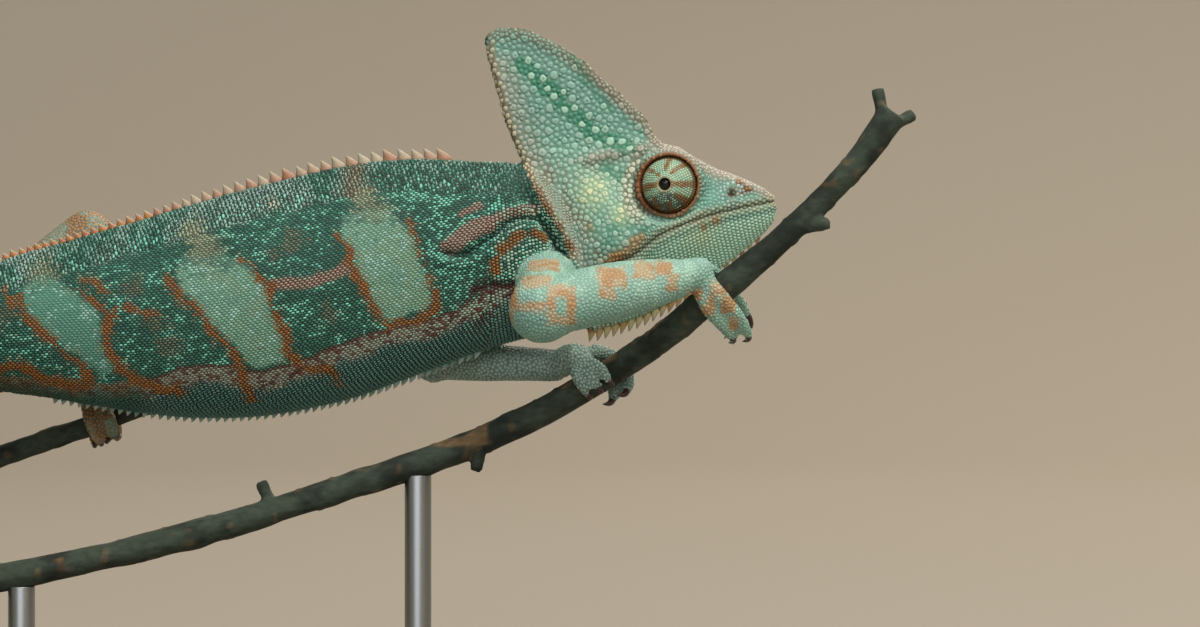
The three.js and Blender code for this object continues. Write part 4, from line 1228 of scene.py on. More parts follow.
class Skin:
    """The skin's surface, to bring scales down onto."""

    def __init__(self, thing):
        self.points, self.normals = points_of(thing)
        corners = from_mesh(thing.data.loops, "vertex_index", 1, np.int32)
        starts = from_mesh(thing.data.polygons, "loop_start", 1, np.int32)
        faces = [face.tolist() for face in np.split(corners, starts[1:])]
        self.tree = BVHTree.FromPolygons(self.points.tolist(), faces)
        sizes = np.diff(np.append(starts, len(corners)))[:, None]
        self.face_normals = unit(np.add.reduceat(self.normals[corners], starts))
        self.centres = np.add.reduceat(self.points[corners], starts) / sizes

    def nearest(self, places):
        """For each place: the closest point on the skin, its normal, its face and how far it was."""
        found = [self.tree.find_nearest(place) for place in places.tolist()]
        ground, _, face, distance = map(np.array, zip(*found))
        return ground, self.face_normals[face], face, distance


class FormTree:
    """Tells which form each point of the skin grew from."""

    def __init__(self, forms):
        self.tree = BVHTree.FromPolygons(*joined_lofts([form.rings for form in forms]))
        self.owners = np.repeat(np.arange(len(forms)), [len(lofted(form.rings)[1]) for form in forms])

    def form_at(self, places):
        return self.owners[[self.tree.find_nearest(place)[2] for place in places.tolist()]]


def spread_out(places, order, reach):
    """The places, taken in that order, that keep `reach` from every one taken before."""
    taken, grid = [], {}
    cells = np.floor(places / reach).astype(int).tolist()
    spots = places.tolist()
    offsets = [(i - 1, j - 1, k - 1) for i, j, k in np.ndindex(3, 3, 3)]
    limit = reach * reach
    for i in order:
        a, b, c = cells[i]
        x, y, z = spots[i]
        clear = True
        for da, db, dc in offsets:
            for u, v, w in grid.get((a + da, b + db, c + dc), ()):
                if (u - x) ** 2 + (v - y) ** 2 + (w - z) ** 2 < limit:
                    clear = False
                    break
            if not clear:
                break
        if clear:
            taken.append(i)
            grid.setdefault((a, b, c), []).append((x, y, z))
    return np.array(taken, int)


def kd_tree(places):
    tree = KDTree(len(places))
    for i, place in enumerate(places.tolist()):
        tree.insert(place, i)
    tree.balance()
    return tree


def is_tubercle(scales):
    return np.minimum(scales.length, scales.width) > TUBERCLE_LEAST


def lay_scales(forms, skin, form_tree):
    """Scales over the whole skin: those of each form, and small ones in what gaps are left at joints."""
    scales = Scales.together([scales_on(form, index) for index, form in enumerate(forms)])
    ground, normals, faces, far = skin.nearest(scales.place)
    face_owner = form_tree.form_at(skin.centres)
    kept = (face_owner[faces] == scales.form) & (far < SKIN_REACH)
    scales = scales.where(kept)
    scales.place, scales.normal = ground[kept], normals[kept]

    tree = kd_tree(scales.place)
    small = np.array([min(ZONES[form.zones[0]]["step"]) for form in forms])
    reach = small[face_owner]
    lonely = np.array([tree.find(c)[2] for c in skin.centres.tolist()]) > 0.85 * reach
    candidates = np.flatnonzero(lonely)
    order = np.arange(len(candidates))
    chosen = candidates[spread_out(skin.centres[candidates], order, FILLER["apart"])]
    beside = np.array([tree.find(c)[1] for c in skin.centres[chosen].tolist()])
    fillers = scales.where(beside)
    fillers.place, fillers.normal = skin.centres[chosen], skin.face_normals[chosen]
    fillers.form = face_owner[chosen]
    fillers.length = fillers.width = np.full(len(chosen), FILLER["size"])
    fillers.height = np.full(len(chosen), FILLER["height"])
    fillers.chart = fillers.chart + np.array([0.45, 0.45, 0])
    scales = Scales.together([scales, fillers])
    scales.number = lattice_random(np.round(scales.place * 40), 61)
    on_head = scales.place[:, 0] > rear_edge_at(scales.place[:, 2])
    knobs = is_tubercle(scales)
    scales.number = np.where(on_head & ~knobs, TUBERCLE_NUMBER, 1) * scales.number
    scales.number[knobs] = lerp(TUBERCLE_NUMBER + 0.01, 1, scales.number[knobs])
    for outline in PALE_PATCHES:
        inside = ramp(outline_distance(scales.place, outline), 1.0, -1.0)
        scales.height = scales.height * (1 - 0.4 * inside)
    return scales


SMALL_SCALE = dict(sides=6, apex=(1.0, 1.05, 1.05), rings=[(1.0, -0.6, 0.0), (0.84, 0.76, 0.95)])
TUBERCLE = dict(sides=12, apex=(0.84, 0.35, 1.0),
                rings=[(1.0, -0.6, 0.0), (0.84, 0.55, 0.9), (0.5, 0.92, 1.1)])
CELL_SIDES = 12  # directions in which each scale's room is measured
CELL_NEIGHBOURS = 9  # how many of the nearest scales can be in its way
CELL_REACH = (0.15, 0.62)  # the least and the most that a scale reaches from its middle, in its own sizes


def measure_cells(scales):
    """How far each scale may reach in each direction, before it meets half the gap to a neighbour."""
    places, normal = scales.place, scales.normal
    along = unit(scales.along - normal * np.sum(scales.along * normal, 1, keepdims=True))
    across = np.cross(normal, along)
    tree = kd_tree(places)
    hits = [tree.find_n(place, CELL_NEIGHBOURS + 1) for place in places.tolist()]
    near = np.array([[index for _, index, _ in found[1:]] for found in hits])
    offset = places[near] - places[:, None]
    u = np.einsum("nkc,nc->nk", offset, along) / scales.length[:, None]
    v = np.einsum("nkc,nc->nk", offset, across) / scales.width[:, None]
    size = np.sqrt(scales.length * scales.width)
    share = size[:, None] / (size[:, None] + size[near])
    beside = np.einsum("nkc,nc->nk", normal[near], normal) > 0.2
    reaches = []
    for k in range(CELL_SIDES):
        angle = 2 * math.pi * k / CELL_SIDES
        toward = u * math.cos(angle) + v * math.sin(angle)
        halfway = (u * u + v * v) * share / np.maximum(toward, 0.04)
        room = np.where(beside & (toward > 0.04), halfway, 9).min(1)
        way = np.stack([scales.length * math.cos(angle), scales.width * math.sin(angle)], -1)
        nominal = np.linalg.norm(way, axis=1)
        gap = 0.5 * np.linalg.norm(scales.gaps * way, axis=1) / nominal ** 2
        reaches.append(way * np.clip(room - gap, *CELL_REACH)[:, None])
    return along, across, np.stack(reaches, 1)


def domes(scales, cells, colours, between, chart_places, shape):
    """Points, colours, map places and faces of one small closed-topped dome for each scale. A shape's rings
    are (share of its cell, share of its height, brightness), and 0 brightness takes the skin's colour. Its
    apex has a share of the height, and the least and the most brightness."""
    along, across, reaches = cells
    sides, rings = shape["sides"], shape["rings"]
    count, per_scale = len(scales), shape["sides"] * len(rings) + 1
    points, tints, spots = [], [], []
    for share, rise, bright in rings:
        for k in range(sides):
            step = reaches[:, k * CELL_SIDES // sides] * share
            points.append(scales.place + along * step[:, :1] + across * step[:, 1:]
                          + scales.normal * (rise * scales.height)[:, None])
            tints.append(colours * bright if bright else between)
            angle = 2 * math.pi * k / sides
            spots.append(chart_places + PATCH / 2 * share * np.array([math.cos(angle), math.sin(angle)]))
    rise, darkest, brightest = shape["apex"]
    points.append(scales.place + scales.normal * (rise * scales.height)[:, None])
    tints.append(colours * lerp(darkest, brightest, 37 * scales.number % 1)[:, None])
    spots.append(chart_places)
    first = np.arange(count)[:, None] * per_scale
    one = []
    for ring in range(len(rings) - 1):
        for k in range(sides):
            a, b = ring * sides + k, ring * sides + (k + 1) % sides
            one.append((a, b, b + sides, a + sides))
    top = (len(rings) - 1) * sides
    caps = [(top + k, top + (k + 1) % sides, per_scale - 1) for k in range(sides)]
    quads = (first[:, :, None] + np.array(one)[None]).reshape(-1, 4)
    triangles = (first[:, :, None] + np.array(caps)[None]).reshape(-1, 3)
    flat = [np.stack(part, 1).reshape(count * per_scale, -1) for part in (points, tints, spots)]
    return (*flat, quads, triangles)


PATCH = 0.003  # how wide a scale's place on its piece's map is


def chart_layout(scales):
    """Each scale's place on a square map: the charts of the piece's forms, unrolled and packed in shelves."""
    chart = np.column_stack([scales.form, scales.chart[:, 2]]).astype(int)
    names, which = np.unique(chart, axis=0, return_inverse=True)
    which = which.ravel()
    boxes = []
    for k in range(len(names)):
        inside = scales.chart[which == k, :2]
        boxes.append((inside.min(0) - 0.5, inside.max(0) - inside.min(0) + 1.0))
    order = sorted(range(len(boxes)), key=lambda k: -boxes[k][1][1])
    side = math.sqrt(sum(size[0] * size[1] for _, size in boxes))
    corners = {}
    while True:
        x = y = shelf = 0.0
        for k in order:
            width, height = boxes[k][1]
            if x > 0 and x + width > side:
                x, y, shelf = 0.0, y + shelf, 0.0
            corners[k] = np.array([x, y])
            x, shelf = x + width, max(shelf, height)
        if y + shelf <= side and max(boxes[k][1][0] for k in order) <= side:
            break
        side *= 1.04
    offset = np.array([corners[k] - boxes[k][0] for k in range(len(boxes))])
    return 0.005 + 0.99 * (scales.chart[:, :2] + offset[which]) / side


def mesh_piece(name, points, colours, spots, quads, triangles):
    """A mesh object from arrays, with its markings as point colours and its OFBake map."""
    mesh = bpy.data.meshes.new(name)
    mesh.vertices.add(len(points))
    mesh.vertices.foreach_set("co", on_model(points).astype(np.float32).ravel())
    corners = np.concatenate([quads.ravel(), triangles.ravel()]).astype(np.int32)
    starts = np.concatenate([np.arange(len(quads)) * 4, len(quads) * 4 + np.arange(len(triangles)) * 3])
    mesh.loops.add(len(corners))
    mesh.loops.foreach_set("vertex_index", corners)
    mesh.polygons.add(len(starts))
    mesh.polygons.foreach_set("loop_start", starts.astype(np.int32))
    mesh.polygons.foreach_set("use_smooth", np.ones(len(starts), bool))
    mesh.update(calc_edges=True)
    set_markings(mesh, colours)
    layer = mesh.uv_layers.new(name="OFBake")
    layer.uv.foreach_set("vector", spots[corners].astype(np.float32).ravel())
    return link_object(name, mesh)


def set_markings(mesh, colours):
    layer = mesh.color_attributes.new("Markings", "FLOAT_COLOR", "POINT")
    full = np.ones((len(colours), 4), np.float32)
    full[:, :3] = np.clip(colours, 0, 1)
    layer.data.foreach_set("color", full.ravel())


def coat_piece(name, scales, cells, regions):
    """One piece of the coat: the small scales and the tubercles of part of the body, joined."""
    colours, between = markings(scales.place, scales.number, regions[scales.form])
    spots = chart_layout(scales)
    big = is_tubercle(scales)
    joined = [[], [], [], [], []]
    start = 0
    for chosen, shape in ((~big, SMALL_SCALE), (big, TUBERCLE)):
        if chosen.any():
            points, tints, places, quads, triangles = domes(
                scales.where(chosen), [part[chosen] for part in cells], colours[chosen], between[chosen],
                spots[chosen], shape)
            for store, part in zip(joined, (points, tints, places, quads + start, triangles + start)):
                store.append(part)
            start += len(points)
    return mesh_piece(name, *(np.concatenate(store) for store in joined))


# ------------------------------------------------------------ materials
def add_node(tree, kind, inputs=(), **settings):
    """Adds a node with its settings, and its inputs' values or links. A link may name a node for its first
    output."""
    node = tree.nodes.new(kind)
    for key, value in settings.items():
        setattr(node, key, value)
    for key, value in dict(inputs).items():
        if isinstance(value, bpy.types.Node):
            value = value.outputs[0]
        if isinstance(value, bpy.types.NodeSocket):
            tree.links.new(value, node.inputs[key])
        else:
            node.inputs[key].default_value = value
    return node


def new_material(name):
    """A new material and its empty node tree."""
    material = bpy.data.materials.new(name)
    material.use_nodes = True
    material.node_tree.nodes.clear()
    return material, material.node_tree


def shade(material, inputs):
    """Ends a material with one principled shader that has these inputs."""
    shader = add_node(material.node_tree, "ShaderNodeBsdfPrincipled", inputs)
    add_node(material.node_tree, "ShaderNodeOutputMaterial", {"Surface": shader})
    return material


def plain(name, colour, **inputs):
    """A smooth surface of one colour: wet black eyeballs, and claw horn polished by use."""
    return shade(new_material(name)[0], {"Base Color": rgba(colour), **inputs})


def scaly_skin(name, roughness, grain_mm, bump):
    """Living reptile skin: a thin satin layer of keratin over pigment, with a fine grain on each scale."""
    material, tree = new_material(name)
    place = add_node(tree, "ShaderNodeTexCoord").outputs["Object"]
    marks = add_node(tree, "ShaderNodeAttribute", attribute_name="Markings")
    grain = add_node(tree, "ShaderNodeTexNoise", {"Vector": place, "Scale": 1 / (grain_mm * MM),
                                                  "Detail": 3.0, "Roughness": 0.6})
    tone = add_node(tree, "ShaderNodeMapRange", {"Value": grain, "To Min": 0.8, "To Max": 1.2})
    tinted = add_node(tree, "ShaderNodeVectorMath", {0: marks, 1: tone}, operation="MULTIPLY")
    gloss = add_node(tree, "ShaderNodeMapRange", {"Value": grain, "To Min": roughness - 0.1,
                                                  "To Max": roughness + 0.12})
    relief = add_node(tree, "ShaderNodeBump", {"Height": grain, "Strength": bump, "Distance": 0.15 * MM})
    return shade(material, {"Base Color": tinted, "Roughness": gloss, "Normal": relief, "IOR": 1.46,
                            "Specular IOR Level": 0.45})


def finished(thing, material, nodes):
    """Gives a piece its material and its place on the part."""
    thing.data.materials.clear()
    thing.data.materials.append(material)
    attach(thing, "root")
    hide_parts(*nodes)


MID_TRUNK = -34  # x where the coat's front pieces meet its rear ones


def make_animal():
    """The skin, and the coat of scales over it."""
    forms = animal_forms()
    regions = np.array([form.region for form in forms])
    form_tree = FormTree(forms)
    skin_object = flesh(forms)
    refine_head(skin_object, form_tree, regions)
    where, normals = points_of(skin_object)
    region = regions[form_tree.form_at(where)]
    move_points(skin_object, fold_skin(where, normals, region))
    skin = Skin(skin_object)
    number = lattice_random(np.round(skin.points * 1.3), 60)
    set_markings(skin_object.data, 0.85 * markings(skin.points, number, region)[1])
    shade_smooth(skin_object)
    hide = scaly_skin("Chameleon skin between its scales, matt", 0.62, 0.5, 0.3)
    horny = scaly_skin("Chameleon scales, satin keratin", 0.46, 0.35, 0.25)
    flesh_nodes = ["head", "lower_jaw", "neck", "chest", "belly", "pelvis"]
    flesh_nodes += [f"tail_{k}" for k in range(1, 6)]
    limb_nodes = ("upper_arm", "forearm", "hand", "thigh", "shank", "foot")
    flesh_nodes += [f"{part}_{side}" for side in ("right", "left") for part in limb_nodes]
    finished(skin_object, hide, flesh_nodes)

    scales = lay_scales(forms, skin, form_tree)
    radius, height, _, _ = on_eye(scales.place)
    bare_fold = (radius < 6.8) & (height > -2.5) & (regions[scales.form] == "head")
    scales = scales.where(~bare_fold)
    cells = measure_cells(scales)
    form_region = regions[scales.form]
    right, front = scales.place[:, 1] < 0, scales.place[:, 0] > MID_TRUNK
    coats = {f"scales_{name}": (form_region == name, "limb_skin") for name in LIMBS}
    coats["scales_head"] = (form_region == "head", "head_skin")
    coats["scales_tail"] = (form_region == "tail", "body_skin")
    for half, in_half in (("front", front), ("rear", ~front)):
        for side, on_side in (("right", right), ("left", ~right)):
            coats[f"scales_{half}_{side}"] = ((form_region == "trunk") & in_half & on_side, "body_skin")
    for name, (chosen, slot) in coats.items():
        coat = coat_piece(name, scales.where(chosen), [part[chosen] for part in cells], regions)
        finished(coat, horny, flesh_nodes)


def refine_head(thing, form_tree, regions):
    """Splits the faces of the head once, so that its folds can be fine."""
    centres = on_animal(from_mesh(thing.data.polygons, "center"))
    possible = np.flatnonzero((centres[:, 0] > 18) & (centres[:, 2] > 112))
    on_head = np.zeros(len(centres), bool)
    on_head[possible] = regions[form_tree.form_at(centres[possible])] == "head"
    start_edit(thing)
    bpy.ops.mesh.select_all(action="DESELECT")
    bpy.ops.object.mode_set(mode="OBJECT")
    thing.data.polygons.foreach_set("select", on_head)
    bpy.ops.object.mode_set(mode="EDIT")
    bpy.ops.mesh.subdivide(number_cuts=1, smoothness=0)
    bpy.ops.object.mode_set(mode="OBJECT")


# ------------------------------------------------------------ eyes
def eye_place(radius, height, angle, side):
    """A point in an eye's own frame, as a point on the animal."""
    turn = EYE["turn_back"]
    across, up = radius * np.cos(angle), radius * np.sin(angle)
    x = EYE["x"] + across * math.cos(turn) - height * math.sin(turn)
    y = EYE["depth"] + across * math.sin(turn) + height * math.cos(turn)
    return np.stack([x, side * y, EYE["z"] + up], -1)


def eye_frame(thing):
    """The distance from the vertical axis, the height and the angle of each point of a new object, in mm."""
    local = from_mesh(thing.data.vertices, "co").reshape(-1, 3).astype(float) / MM
    return np.hypot(local[:, 0], local[:, 1]), local[:, 2], np.arctan2(local[:, 1], local[:, 0])


def stand_on_eye(thing, place, side):
    """Moves an upright object's points to their places on one side's eye."""
    move_points(thing, place)
    if side > 0:
        thing.data.flip_normals()
    bpy.ops.object.shade_smooth()


TURRET_PROFILE = smooth_rows([  # distance from the eye's axis, height of the turret's outline
    (0.0, 5.3), (1.6, 5.25), (2.4, 4.98), (3.2, 4.52), (4.2, 3.72), (5.0, 2.75), (5.6, 1.6), (6.0, 0.2),
])


def lid_height(radius):
    """The lid lies inside the outline, so that its scales reach it."""
    return TURRET_PROFILE(radius) - 0.25


EYE_BARS = [  # from, to and half width at each end, right and up from the pupil seen from the side
    ((1.4, 0.0), (6.2, -0.1), 0.65, 0.7), ((-1.4, 0.0), (-6.0, -1.1), 0.45, 1.0),
    ((0.2, 3.3), (0.4, 5.4), 0.45, 0.6), ((1.6, 2.5), (3.8, 4.5), 0.45, 0.65),
    ((-1.5, 2.1), (-4.9, 3.6), 0.3, 0.5), ((-2.6, -3.3), (-2.0, -5.0), 0.5, 0.6),
    ((2.5, -2.4), (4.1, -3.6), 0.5, 0.65), ((0.7, -4.2), (1.1, -5.5), 0.4, 0.5),
]


def eye_markings(radius, angle, number, place):
    """Aqua lids with rust bars before and behind the pupil, streaks above, and grey with rusty dots below."""
    count = len(radius)
    u, v = radius * np.cos(angle), radius * np.sin(angle)
    lumps = noise(place, 0.9, 81)
    colour = paint(flat_colour(count, "aqua"), "yellow_cream", 0.15 + 0.55 * number)
    lower = ramp(-v - 0.35 * np.abs(u - 0.3), 0.8, 2.0)
    colour = paint(colour, "grey_teal", 0.9 * lower * ramp(number, 0.9, 0.5))
    colour = paint(colour, "dark_red", 0.7 * lower * ramp(number + 0.3 * lumps, 0.6, 0.45))
    flat = np.stack([u, np.zeros(count), v], -1)
    for start, end, from_half, to_half in EYE_BARS:
        way = np.array(end) - np.array(start)
        share = np.clip(((u - start[0]) * way[0] + (v - start[1]) * way[1]) / (way @ way), 0, 1)
        off = line_distance(flat, [start, end]) - lerp(from_half, to_half, share) + 0.5 * (lumps - 0.5)
        colour = paint(colour, "rust", ramp(off, 0.25, -0.15) * (0.7 + 0.3 * number))
    colour = paint(colour, "rust", 0.85 * ramp(radius, 5.5, 5.85))
    return paint(colour, "tan", 0.6 * ramp(radius, 1.9, 1.7))


LID_SCALE = dict(size=0.52, height=0.12, gap=0.08, row_step=0.46, step=0.56)
EYE_MAP_WIDTH = 13  # width of the square map that the eye's scales lie on


def make_eye(side, label, lid_skin):
    """A conical turret of scaly lids round a small opening, with the eyeball glinting in it."""
    foot = [(5.6, -2.6), (6.15, -1.2), (6.2, -0.2)]
    lid = [(r, float(lid_height(r))) for r in np.linspace(6.0, 1.75, 16)]
    rim, top = EYE["pupil"] + 0.1, EYE["height"]
    opening = [(rim + 0.05, top - 0.25), (rim, top - 0.6), (rim - 0.1, top - EYE["opening"])]
    profile = [(r * MM, h * MM) for r, h in foot + lid + opening]
    turret = start_turned(f"eye_turret_{label}_lids", profile, 72, 0.02 * MM)
    bpy.ops.mesh.select_all(action="DESELECT")
    bpy.ops.mesh.select_non_manifold()
    bpy.ops.mesh.fill_holes(sides=0)
    end_edit()
    radius, height, angle = eye_frame(turret)
    place = eye_place(radius, height, angle, side)
    stand_on_eye(turret, place, side)
    shade = np.where(height < top - 0.9, 0.55, 0.9)
    set_markings(turret.data, eye_markings(radius, angle, np.full(len(radius), 0.3), place) * shade[:, None])
    finished(turret, lid_skin, [f"eye_turret_{label}"])

    # Lid scales stand in rings round the opening.
    radii, angles = [], []
    for row, r in enumerate(np.arange(1.78, 5.95, LID_SCALE["row_step"])):
        around = int(2 * math.pi * r / LID_SCALE["step"])
        radii.append(np.full(around, r))
        angles.append((np.arange(around) + 0.5 * (row % 2)) * 2 * math.pi / around)
    radii, angles = np.concatenate(radii), np.concatenate(angles)
    ground = eye_place(radii, lid_height(radii), angles, side)
    outward = eye_place(radii + 0.1, lid_height(radii + 0.1), angles, side) - ground
    around_way = eye_place(radii, lid_height(radii), angles + 0.01, side) - ground
    normal = unit(np.cross(outward, around_way)) * side
    normal *= np.sign(np.sum(normal * np.array([0, side, 0]), 1, keepdims=True))
    count = len(radii)
    number = lattice_random(np.round(ground * 40), 82)
    size = np.full(count, LID_SCALE["size"])
    chart = np.column_stack([radii * np.cos(angles), radii * np.sin(angles), np.zeros(count)])
    lids = Scales(place=ground, normal=normal, along=outward, length=size, width=size,
                  height=np.full(count, LID_SCALE["height"]), gaps=np.full((count, 2), LID_SCALE["gap"]),
                  number=number, chart=chart, form=np.zeros(count))
    colours = eye_markings(radii, angles, number, ground)
    spots = 0.5 + chart[:, :2] / EYE_MAP_WIDTH
    arrays = domes(lids, measure_cells(lids), colours, 0.26 * colours, spots, SMALL_SCALE)
    finished(mesh_piece(f"eye_scales_{label}", *arrays), lid_skin, [f"eye_turret_{label}"])


def make_eyeball(side, label, wet):
    """The eyeball fills the lids' opening: a dark dome, wet with tears."""
    bpy.ops.object.select_all(action="DESELECT")
    bpy.ops.mesh.primitive_uv_sphere_add(segments=32, ring_count=20, radius=1.5 * MM)
    ball = bpy.context.object
    ball.name = ball.data.name = f"eyeball_{label}_wet"
    radius, height, angle = eye_frame(ball)
    width, tall, centre = 0.97, 0.95, EYE["height"] - 1.75
    stand_on_eye(ball, eye_place(width * radius, tall * height + centre, angle, side), side)
    finished(ball, wet, [f"eyeball_{label}"])


# ------------------------------------------------------------ claws and spines
def cone_rings(points, radii, sides):
    """Rings of points along a path, each square to it."""
    path = Route(points)
    rings = []
    for share, radius in zip(np.linspace(0, 1, len(radii)), radii):
        centre, around = path.ring(share, circle(sides))
        rings.append(centre + radius * around)
    return np.array(rings)


def make_claws(horn):
    """Every toe ends in a curved claw that narrows to a point."""
    claws = []
    for limb in LIMBS.values():
        for path, radius in grip_paths(limb)[1]:
            thick = 0.42 * radius * np.array([0.9, 0.98, 0.92, 0.8, 0.6, 0.36, 0.1])
            middle = Route(path).at(np.linspace(TOE_END - 0.06, 1.0, len(thick)))
            claws.append(cone_rings(middle.tolist(), thick, 10))
    piece = joined_rings("claws", claws)
    shade_smooth(piece)
    hands = [f"{part}_{side}" for part in ("hand", "foot") for side in ("right", "left")]
    finished(piece, horn, hands)


def spine_rings(x, z, lean, height, foot, rise):
    """One spine in the animal's middle plane, drawn out of a rounded foot and swept to a point."""
    rings = []
    angles = circle(8)
    for t in (-0.35, 0.0, 0.25, 0.5, 0.75, 0.92, 1.0):
        width = foot * (1 - max(t, 0)) ** 0.8 + 0.03
        sweep = lean * height * max(t, 0) ** 1.5
        level = np.full(len(angles), z + rise * t * height)
        rings.append(np.stack([x + sweep + width * np.cos(angles), 0.55 * width * np.sin(angles), level], -1))
    return np.array(rings)


BELLY_PITCH = 1.8  # between the spines of the belly's middle line
THROAT_PITCH = 1.75


def make_spines(soft_horn):
    """Crests of soft spines on the back, the belly's middle line and the throat."""
    many, colours = [], []

    def add(x, z, lean, height, foot, rise, names):
        rings = spine_rings(x, z, lean, height, foot, rise)
        many.append(rings[:, ::rise])
        number = float(lattice_random(np.array([round(x * 7), round(z), 3]), 91))
        share = np.repeat(np.linspace(0, 1, len(rings)), rings.shape[1])
        base = lerp(COLOURS[names[0]], COLOURS[names[1]], 0.1 + 0.7 * number)
        tip = ramp(share[:, None], 0.3, 0.85) * (0.55 + 0.4 * number)
        colours.append(lerp(base, COLOURS["ivory"], tip))

    x = -110.4
    while x < 11:
        forward = float(ramp(x, -80, 0))
        number = float(lattice_random(np.array([round(x * 3), 1, 1]), 92))
        names = ("salmon", "ivory") if x > -55 else ("salmon", "orange")
        pitch = lerp(1.8, 3.0, forward) * lerp(0.92, 1.08, number)
        height = lerp(1.3, 2.3, forward) * lerp(0.85, 1.1, number)
        add(x, float(trunk_at(x)[0]) - 0.3, -0.75, height, 0.56 * pitch, 1, names)
        x += pitch
    for x in np.arange(-76.4, 18, BELLY_PITCH):
        ahead = float(ramp(x, -40, 5))
        height, foot = lerp(0.9, 1.35, ahead), lerp(0.6, 0.75, ahead)
        add(x, float(trunk_at(x)[1]) + 0.2, -0.45, height, foot, -1, ("belly_teal", "blue_grey"))
    for x in np.arange(42.6, 80, THROAT_PITCH):
        small = float(ramp(x, 52, 78))
        height, foot = lerp(2.5, 1.1, small), lerp(0.95, 0.6, small)
        add(x, float(head_at(x)[1]) + 0.4, -0.22, height, foot, -1, ("orange", "yellow_cream"))
    piece = joined_rings("spines", many)
    set_markings(piece.data, np.vstack(colours))
    shade_smooth(piece)
    finished(piece, soft_horn, ["chest", "belly", "pelvis", "lower_jaw"])


# ------------------------------------------------------------ perch
def branch_rings(route, radii, seed):
    """A branch's rings, swollen at its nodes and rough with bark."""
    radius_at = even_rows(radii)
    rings = []
    for share in np.linspace(0, 1, int(route.length / RING_STEP)):
        centre, around = route.ring(share, circle(36))
        rough = 0.5 * (noise(centre + around * 3, 5, seed) - 0.6)
        rings.append(centre + around * (float(radius_at(share)) - 0.1 + rough)[:, None])
    return np.array(rings)


def make_perch():
    """A live twig of a broad-leaved shrub, its bark smooth and grey with lenticels, scraped by claws."""
    swell = [-0.2, 0.1, -0.2, 0.1, -0.2, 0.1, -0.3, -0.1, 0, 0.1, 0, 0, 0.2, -0.3, -0.4, 0.2]
    many = [branch_rings(stem, [BRANCH_RADIUS + more for more in swell], 101),
            branch_rings(shoot, [3, SHOOT_RADIUS, SHOOT_RADIUS, 2.4], 102)]
    for x, reach in STUBS:
        foot = stem.at(stem.share_at_x(x))
        points = [foot + share * np.array(reach) for share in (0, 0.5, 1)]
        many.append(cone_rings(points, [1.9, 1.7, 1.45, 1.35, 1.5, 1.35], 16))
    perch = joined_rings("perch", many)
    grow_together(perch, 0.5, 3)
    where, normals = points_of(perch)
    along = noise(where * np.array([0.35, 1, 0.6]), 0.9, 103)
    lenticels = ramp(noise(where * np.array([0.6, 1, 0.6]), 1.5, 104), 0.74, 0.84)
    push = 0.16 * (along - 0.5 + lenticels)
    move_points(perch, where + normals * push[:, None])
    set_markings(perch.data, bark_markings(where, normals, lenticels, along))
    shade_smooth(perch)
    return perch


def bark_markings(where, normals, lenticels, along):
    """Grey bark with dark clouds, tan at lenticels and where claws have scraped it, pale pith at the cuts."""
    clouds = ramp(noise(where, 7, 105) + 0.4 * (along - 0.5), 0.35, 0.75)
    colour = paint(flat_colour(len(where), "bark_grey"), "bark_dark", clouds)
    colour = paint(colour, "bark_tan", 0.25 * lenticels)
    scraped = noise(where * np.array([0.45, 1, 0.8]), 2.6, 106) + 0.24 * bell(where[:, 0] - 20, 9)
    colour = paint(colour, "bark_tan", 0.6 * ramp(scraped + 0.1 * normals[:, 2], 0.86, 0.97))
    for cut in CUT_ENDS:
        colour = paint(colour, "pith", bell(np.linalg.norm(where - np.array(cut), axis=1), 2.2))
    return colour


def living_bark(name):
    """Young living bark: a thin matt cork over green, with a fine fibre along the twig."""
    material, tree = new_material(name)
    place = add_node(tree, "ShaderNodeTexCoord").outputs["Object"]
    marks = add_node(tree, "ShaderNodeAttribute", attribute_name="Markings")
    stretched = add_node(tree, "ShaderNodeMapping", {"Vector": place, "Scale": (0.3, 1.0, 0.5)})
    fibre = add_node(tree, "ShaderNodeTexNoise", {"Vector": stretched, "Scale": 1 / (0.7 * MM), "Detail": 4.0,
                                                  "Roughness": 0.65})
    tone = add_node(tree, "ShaderNodeMapRange", {"Value": fibre, "From Min": 0.25, "From Max": 0.75,
                                                 "To Min": 0.6, "To Max": 1.35})
    tinted = add_node(tree, "ShaderNodeVectorMath", {0: marks, 1: tone}, operation="MULTIPLY")
    relief = add_node(tree, "ShaderNodeBump", {"Height": fibre, "Strength": 0.6, "Distance": 0.25 * MM})
    return shade(material, {"Base Color": tinted, "Normal": relief, "Roughness": 0.78,
                            "Specular IOR Level": 0.3})


